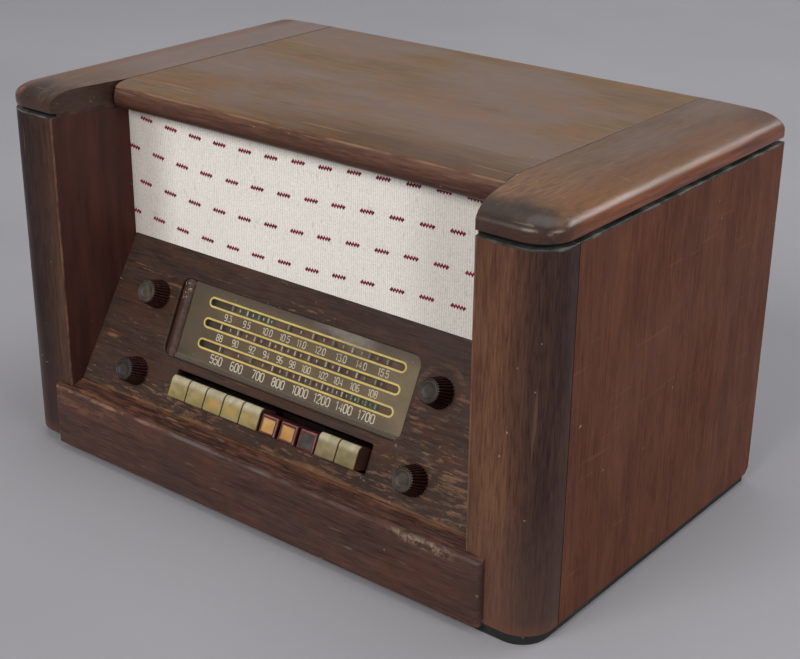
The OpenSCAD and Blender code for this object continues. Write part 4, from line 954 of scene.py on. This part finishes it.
def glass_material():
    """Clear cover with rub marks, a grey patch at the upper right and a pale painted reflection along its foot."""
    s = Shader("dial_glass", 0.12)
    y = slope_y(s, -GLASS_DEPTH)
    # Painted reflection: the bevelled foot is pale and partly opaque.
    lip = y.fit(-83.2, -82.6, 1, 0)
    lines = y.band(-83.2, -82.8, 0.25) + y.band(-85.4, -85.0, 0.3)
    s.base = s.mix(lip, (160, 150, 132), s.mix(lines, (92, 80, 70), (134, 124, 112)))
    haze = s.noise((24, 50, 50), 5, 0.66, 0.5, (4, 4, 1))
    veil = y.fit(-44, -30) * s.x.band(0.035, 0.060, 0.02) * haze.fit(0.44, 0.64) * 0.2 + 0.03
    rub = s.noise((30, 300, 300), 3, 0.6, 0.2, (1, 1, 1), (0, 25, 0)).fit(0.62, 0.70, 0, 0.05)
    return s.done(Alpha=(veil + rub).max(lip * 0.6), Roughness=haze.fit(0.35, 0.65, 0.06, 0.22))


def strip_material():
    """Rough red-brown strip with rubbed gilt near its top."""
    s = wood("strip_brown", (40, 23, 18), (64, 38, 29), (88, 56, 43), "z", 3.3, 0.5, 0.2, 0.25)
    rough = s.noise((260, 260, 120), 4, 0.62)
    s.lay(rough.fit(0.5, 0.62, 0, 0.5), (50, 30, 24))
    s.lay(s.noise(420, 3, 0.6, 0.5).fit(0.585, 0.63) * slope_y(s).fit(-44, -26), (196, 178, 152))
    return s.done(rough, 0.5, 0.3)


def bar_material():
    s = toned("window_yellow", 0.45, 0.5, ((60, 60, 60), 4, 0.6), 0.35, (184, 162, 82), 0.6, (206, 185, 102))
    return s.done(s.noise(600), 0.1, 0.1)


def numeral_material():
    s = toned("numerals", 0.5, 0.5, ((240, 240, 240), 3, 0.6), 0.34, (168, 158, 134), 0.54, (196, 188, 165))
    return s.done(s.noise(700), 0.1, 0.1)


def backplate_material():
    """Brown tray behind the dial, with the worn green tint of two stretches of the scales."""
    s = toned("dial_dark", 0.7, 0.15, ((90, 160, 160), 4, 0.6), 0.35, (78, 56, 46), 0.65, (106, 80, 68))
    y = slope_y(s, FLOOR)
    first = s.x.band(-0.060, -0.026, 0.004) * y.fit(-44, -42)
    third = s.x.band(0.064, 0.086, 0.006) * y.fit(-62, -60, 1, 0)
    s.lay((first + third) * 0.6, (62, 86, 68))
    s.lay(s.x.fit(-0.075, -0.066, 0.75, 0), (40, 36, 34))
    return s.done(s.cloud, 0.1, 0.1)


# Buttons and knobs


def button_x(i):
    return BUTTON["x"] + (i - 5.5) * BUTTON["pitch"]


def button_block(kind):
    """Cap whose upper edge rolls back, and the plunger behind it."""
    w, l, proud, roll, fall = kind.values()
    top, n = -BUTTON["drop"] - (BUTTON["l"] - l), 7
    neck, stem_foot, stem_w, stem_h = -6.0, -50.0, 8.0, 3.0
    edge = []
    for i in range(n + 1):
        a = math.radians(90 * i / n)
        edge.append((top - roll * (1 - math.cos(a)), proud - fall * (1 - math.sin(a))))
    side = [(top, neck)] + edge + [(top - l, proud), (top - l, neck)]
    stem = rect(stem_w, stem_h, 0.0, -BUTTON["drop"] - BUTTON["l"] / 2)
    return join([prism(side, -w / 2, w / 2, "x"), prism(stem, stem_foot, neck)])


def make_buttons(mats):
    for i, mat in mats.items():
        verts, faces = button_block(RED if i in RED_BUTTONS else IVORY)
        verts = [(x + button_x(i), y, z) for x, y, z in verts]
        slot = "button_red" if i in RED_BUTTONS else "button_ivory"
        how = {"body": f"button_{i}_body", "replaces": [f"push_button_{i}"], "slot": slot, "bevel": 1.1}
        piece(f"button_{i}", verts, faces, mat, place=panel, **how).modifiers["edges"].segments = 4


def knob_rings(steps=8):
    """Rings of a fluted knob: a ribbed flank drawn in towards the face, a rim and a dished face."""
    r0, r1, h, gap, n = KNOB["r"], KNOB["face_r"], KNOB["h"], KNOB["gap"], KNOB["flutes"]
    count, rim_h = n * steps, 0.9

    def ring(r, z, depth):
        points = []
        for i in range(count):
            a = 2 * math.pi * i / count
            rr = r - depth * (0.5 - 0.5 * math.cos(n * a)) ** 1.5
            points.append((rr * math.cos(a), rr * math.sin(a), z))
        return points

    rings = [ring(r0 + (r1 - r0) * t, gap + (h - rim_h - gap) * t, 1.0) for t in (0.0, 0.25, 0.5, 0.75, 1.0)]
    rim = ((0.12, 0.45, 0.95), (0.5, 0.1, 0.75), (1.05, 0, 0.3), (1.5, 0, 0), (1.8, 0.35, 0), (2.6, 0.45, 0))
    dish = ((2.8, 0.3, 0), (3.4, 0.3, 0), (3.6, 0.5, 0), (r1 - 3.0, 0.55, 0), (r1 - 1.0, 0.6, 0))
    return rings + [ring(r1 - inset, h - fall, depth) for inset, fall, depth in rim + dish]


def make_knobs(mats):
    verts, faces = loft(knob_rings())
    for name, (side, drop) in KNOBS.items():
        moved = [(x + side * KNOB["x"], y - drop, z) for x, y, z in verts]
        how = {"body": f"{name}_control_body", "replaces": [f"{name}_knob"], "slot": "knob_maroon", "smooth": 62}
        piece(f"{name}_knob_grip", moved, faces, mats[name], place=panel, **how)


def ivory_material(number, bright, deep, blot, amber):
    """Old celluloid on a brown body: cloudy face, bleached bevel, an amber stain on some."""
    s = Shader(f"ivory_{number}", 0.36, 0.3)
    off = (number * 1.7, number * 0.6, number * 2.3)
    y = slope_y(s, IVORY["proud"])
    dx = abs(s.x * 1000.0 - button_x(number))
    s.base = s.noise((80, 100, 100), 4, 0.55, 0.5, off).ramp(0.34, deep, 0.52, bright, 0.70, blot)
    if amber:
        s.lay(y.band(-110, -106, 4.5) * dx.ease(1.5, 8.5, 1, 0) * amber, (168, 132, 72))
    pale = s.noise((160, 60, 60), 4, 0.6, 0, off).ramp(0.36, (152, 142, 116), 0.62, (176, 168, 144))
    s.lay(y.ease(-104.5, -100, 0, 0.9), pale)
    # Painted shade: the face darkens towards its lower end.
    s.lay(y.fit(-115, -108, 0.6, 0), deep)
    s.lay(dx.fit(8.3, 9.1, 0, 0.6), (84, 72, 44))
    s.specks((96, 80, 44), 0.4, 420, 0.76)
    s.lay(panel_height(s).fit(8.6, 9.4, 1, 0), (24, 17, 13))
    normal = s.split(s.node("NewGeometry", "Normal", {}))
    s.lay(abs(normal[0]).fit(0.75, 0.95), (72, 47, 35))
    s.set(Subsurface_Weight=0.08, Subsurface_Radius=(0.004, 0.003, 0.0012), Subsurface_Scale=0.6)
    return s.done(s.noise(300), 0.08, 0.2)


def red_button_material(number, window, lit):
    """Maroon frame with worn pinkish edges round a sunk window, shaded along its left and lower sides."""
    s = Shader(f"red_{number}", 0.34, 0.35)
    x, y, height = s.x * 1000.0 - button_x(number), slope_y(s, RED["proud"]), panel_height(s)
    dx = abs(x)
    s.base = s.noise((70, 70, 70)).ramp(0.36, (56, 24, 22), 0.62, (86, 40, 36))
    worn = s.noise((90, 90, 90), 4, 0.6, 0.3).fit(0.38, 0.58, 0.3, 0.75)
    s.lay(dx.fit(6.9, 7.3).max(y.fit(-101.4, -100.9)) * height.fit(10.2, 11.0) * worn, (150, 108, 104))
    pane = s.noise((60, 60, 60), 4, 0.6, 0.4, (number, 2, 1)).ramp(0.36, window, 0.6, lit)
    shade = x.fit(-5.9, -4.4, 0.75, 0).max(y.fit(-113.1, -112, 0.6, 0)).max(y.fit(-103.6, -102.5, 0, 0.5))
    inside = dx.fit(5.8, 6.0, 1, 0) * y.band(-113, -102.6, 0.2) * height.fit(11.2, 11.6)
    s.lay(inside, s.mix(shade, pane, s.mix(1.0, pane, (0.35, 0.28, 0.25), "MULTIPLY")))
    return s.done(s.noise(300) - inside * 0.6, 0.4, 0.4)


def knob_material(name, gain):
    """Maroon moulding: greenish grey worn face with rings, dark ribs with pale worn tops."""
    s = Shader(f"knob_{name}", 0.45, 0.25)
    side, drop = KNOBS[name]
    sine, cosine = math.sin(TILT), math.cos(TILT)
    x, y, z = (value - at for value, at in zip((s.x, s.y, s.z), panel(side * KNOB["x"], -drop, 0)))
    rise, up = y * -cosine + z * sine, y * sine + z * cosine
    mm = (x * x + up * up).math("SQRT") * 1000.0

    def tint(*colour):
        return [c * gain for c in linear(colour)]

    rib = ((up.math("ARCTAN2", x) * KNOB["flutes"]).math("COSINE") + 1.0) * 0.5
    s.base = s.mix(rib, (14, 6, 6), (54, 24, 19))
    s.lay(s.noise((420, 420, 420), 3, 0.6).fit(0.58, 0.66) * rib * 0.4, (110, 84, 74))
    cloud = s.noise((130, 130, 130), 4, 0.62, 0.4, (side, drop, 1))
    worn = cloud.ramp(0.34, tint(54, 46, 40), 0.52, tint(73, 64, 56), 0.68, tint(94, 84, 74))
    worn = s.mix(mm.ease(0.8, 3.4, 0.6, 0), worn, tint(76, 58, 42))
    worn = s.mix((mm.band(5.6, 6.0, 0.3) + mm.band(7.4, 7.8, 0.25)) * 0.45, worn, tint(40, 34, 30))
    s.lay(rise.fit(0.0150, 0.0154), worn)
    return s.done(s.noise(500), 0.15, 0.2, Roughness=cloud.fit(0.35, 0.65, 0.38, 0.6))


# Finishes of the parts inside and behind, which keep their CAD shapes


def back_material():
    """Pressed fibreboard with its fine felted grain."""
    stops = (0.34, (74, 52, 36), 0.52, (102, 76, 54), 0.7, (126, 98, 72))
    s = toned("back_board", 0.8, 0.2, ((380, 380, 380), 5, 0.7, 0.6), *stops)
    s.lay(s.noise((10, 10, 10), 4, 0.6, 0.3, (3, 3, 3)).fit(0.42, 0.62, 0, 0.5), (84, 62, 46))
    return s.done(s.cloud, 0.3, 0.3)


def inner_wood_material():
    s = wood("plain_wood", (112, 82, 54), (142, 108, 74), (166, 132, 94), "x", 12.1, 0.7, 0.5)
    s.smear((96, 74, 54), 0.5, (8, 8, 8), 0.48, 0.66)
    return s.done(s.streak, 0.25, 0.3)


def cone_material():
    """Pressed paper."""
    s = toned("cone_paper", 0.85, 0.2, ((300, 300, 300), 5, 0.7, 0.4), 0.34, (34, 30, 26), 0.66, (62, 56, 48))
    return s.done(s.cloud, 0.3, 0.3)


def valve_material():
    """Bulb silvered at its crown, smoky below, on a dark foot."""
    s = Shader("valve_glass", 0.08, 0.6)
    crown = (s.z + s.noise((50, 50, 50)).fit(0.3, 0.7, -0.004, 0.004)).fit(0.126, 0.132)
    foot = s.z.fit(0.0785, 0.0790, 1, 0)
    s.base = s.mix(foot, s.mix(crown, (66, 60, 52), (176, 178, 180)), (34, 26, 22))
    return s.done(Metallic=crown * 0.9, Roughness=foot.fit(0, 1, 0.08, 0.4))


def coil_material():
    """Fine enamelled wire wound round the loop's flat former."""
    s = Shader("aerial_wire", 0.45)
    half_w, half_h, mid_z = 0.130, 0.052, 0.218
    turn = abs(s.x * (1 / half_w)).max(abs((s.z - mid_z) * (1 / half_h)))
    line = (turn * 220.0).math("SINE")
    s.base = s.mix(line.fit(-0.6, 0.6), (78, 44, 24), (156, 100, 60))
    return s.done(line, 0.4, 0.3)


def finish_frame():
    """Gives each CAD node that keeps its own shape a finish."""
    steel = metal("plated_steel", (150, 148, 142), 0.36, (40, 300, 300))
    lamp = toned("lamp_glass", 0.1, 0.6, ((200, 200, 200), 2), 0.3, (168, 152, 112), 0.7, (206, 194, 152))
    finishes = {
        "cap_ledges": ledge_material(),
        "grille_board back_cleats": inner_wood_material(),
        "back_cover": back_material(),
        "back_cover_screws": metal("screw_steel", (132, 128, 120), 0.4, stain=(84, 62, 44)),
        "cord_grommet": plain("rubber_black", (26, 26, 27), 0.75, 0.2, 200.0),
        "dial_backplate": backplate_material(),
        "dial_pointer": metal("pointer_brass", (176, 148, 96), 0.4, (300, 300, 60), 0.6),
        "pointer_rail volume_shaft tone_shaft tuning_shaft band_shaft": steel,
        "chassis tuning_bearing potentiometers lamp_holders capacitor_frame": steel,
        "button_bank": plain("bank_black", (22, 15, 12), 0.8, 0.25, 160.0, 0.05),
        "capacitor_stator capacitor_rotor": metal("vane_aluminium", (186, 186, 182), 0.35, (30, 400, 30)),
        "dial_drum": metal("drum_brass", (168, 140, 88), 0.38, (200, 30, 200)),
        "dial_lamps": lamp.done(),
        "transformers": metal("transformer_black", (40, 40, 42), 0.45, (90, 90, 90), 0.3, (74, 58, 46)),
        "valve_sockets": plain("socket_brown", (58, 34, 24), 0.45, 0.2, 120.0),
        "band_switch": plain("switch_board", (134, 100, 58), 0.6, 0.2, 90.0),
        "valves": valve_material(),
        "shield_cans": metal("shield_aluminium", (172, 172, 170), 0.34, (200, 200, 30)),
        "speaker_basket": metal("basket_grey", (92, 94, 94), 0.5, (60, 60, 60), 0.6),
        "speaker_cone": cone_material(),
        "speaker_magnet": metal("magnet_iron", (96, 88, 80), 0.5, (50, 50, 50), 0.7, (86, 58, 40)),
        "loop_antenna": coil_material(),
    }
    for names, mat in finishes.items():
        for node in names.split():
            materials = NODES[node].data.materials
            materials.clear()
            materials.append(mat)


# Assembly


def make_object():
    make_posts(post_material())
    make_sides(side_material())
    make_caps(cap_material())
    make_top(top_material())
    make_rail(rail_material())
    make_panel(panel_material())
    make_dial_plate(dial_print_material())
    make_window_lines(bar_material())
    make_numerals(numeral_material())
    tick_colours = {"tick_pale": (160, 160, 142), "tick_green": (100, 118, 102)}
    make_ticks(*(plain(name, colour, 0.5, 0.15, 200.0) for name, colour in tick_colours.items()))
    make_glass(glass_material())
    make_end_strip(strip_material())
    ivory = ((141, 127, 84), (118, 104, 62), (152, 138, 96))
    grey = ((120, 107, 74), (98, 86, 56), (134, 121, 90))
    amber, dark = ((160, 114, 62), (184, 142, 84)), ((40, 37, 34), (70, 66, 61))
    panes = dict(zip(RED_BUTTONS, (amber, amber, dark)))
    stains = {3: 0.75, 4: 0.6, 5: 0.25}
    mats = {}
    for i in range(1, 11):
        if i in RED_BUTTONS:
            mats[i] = red_button_material(i, *panes[i])
        else:
            mats[i] = ivory_material(i, *(grey if i > 8 else ivory), stains.get(i, 0.0))
    make_buttons(mats)
    gains = {"volume": 0.72, "tone": 0.35, "tuning": 0.55, "band": 0.65}
    make_knobs({name: knob_material(name, gain) for name, gain in gains.items()})
    make_cloth(cloth_material(), thread_material())
    make_base(base_material())
    finish_frame()


def make_camera():
    """Camera as fitted to the photograph's edges."""
    data = bpy.data.cameras.new("camera")
    data.lens = 69.62
    data.sensor_width = 36
    data.sensor_fit = "HORIZONTAL"
    right = Vector((0.780988, 0.624476, 0.009327))
    up = Vector((-0.256824, 0.307507, 0.916232))
    back = Vector((0.569297, -0.717961, 0.40054))
    camera = linked("camera", data)
    spin = Matrix((right, up, back)).transposed().to_4x4()
    camera.matrix_world = Matrix.Translation((0.72952, -0.892484, 0.620068)) @ spin
    bpy.context.scene.camera = camera


def area_light(name, place, size, power, colour=(1, 1, 1)):
    """A soft rectangular light that looks at the middle of the set."""
    aim = Vector((0.0, 0.0, 0.15))
    data = bpy.data.lights.new(name, "AREA")
    data.shape = "RECTANGLE"
    data.size, data.size_y = size
    data.energy = power
    data.color = colour
    obj = linked(name, data)
    obj.location = place
    obj.rotation_euler = (Vector(place) - aim).to_track_quat("Z", "Y").to_euler()


def make_lights():
    """Large soft lights far off: above the front, overhead, from the right and a low one behind for the gloss."""
    area_light("key", (-0.4, -4.8, 3.4), (3.6, 2.6), 245, (1.0, 0.985, 0.96))
    area_light("overhead", (0.0, 0.8, 4.8), (4.4, 3.6), 90)
    area_light("right", (5.0, -0.6, 2.4), (2.6, 2.2), 105, (1.0, 0.99, 0.98))
    area_light("behind", (1.7, 3.1, 2.5), (2.6, 0.5), 50)


def make_world():
    """Dim even light, and a pale grey backdrop for rays from the camera, off a glossy face or through glass."""
    world = bpy.data.worlds.new("studio")
    world.use_nodes = True
    bpy.context.scene.world = world
    nodes, links = world.node_tree.nodes, world.node_tree.links
    light = nodes["Background"]
    light.inputs["Color"].default_value = (0.62, 0.62, 0.64, 1)
    light.inputs["Strength"].default_value = 0.42
    backdrop = nodes.new("ShaderNodeBackground")
    backdrop.inputs["Color"].default_value = rgba((150, 149, 154))
    backdrop.inputs["Strength"].default_value = 1.0
    rays = nodes.new("ShaderNodeLightPath").outputs
    shown = rays["Is Camera Ray"]
    for ray in ("Is Glossy Ray", "Is Transmission Ray"):
        either = nodes.new("ShaderNodeMath")
        either.operation = "MAXIMUM"
        links.new(shown, either.inputs[0])
        links.new(rays[ray], either.inputs[1])
        shown = either.outputs[0]
    mix = nodes.new("ShaderNodeMixShader")
    for socket, source in zip(mix.inputs, (shown, light.outputs[0], backdrop.outputs[0])):
        links.new(source, socket)
    links.new(mix.outputs[0], nodes["World Output"].inputs[0])


def make_floor():
    radius, sides = 9, 64
    ring = [(radius * math.cos(a), radius * math.sin(a), 0.0) for a in [2 * math.pi * i / sides for i in range(sides)]]
    mesh = bpy.data.meshes.new("floor")
    mesh.from_pydata(ring, [], [tuple(range(sides))])
    floor = linked("floor", mesh)
    s = toned("studio_floor", 0.9, 0.1, ((2, 2, 2), 2), 0.3, (144, 143, 147), 0.7, (150, 149, 153))
    mesh.materials.append(s.done())


make_camera()
make_object()
make_lights()
make_world()
make_floor()
bpy.context.scene.view_settings.view_transform = "Standard"
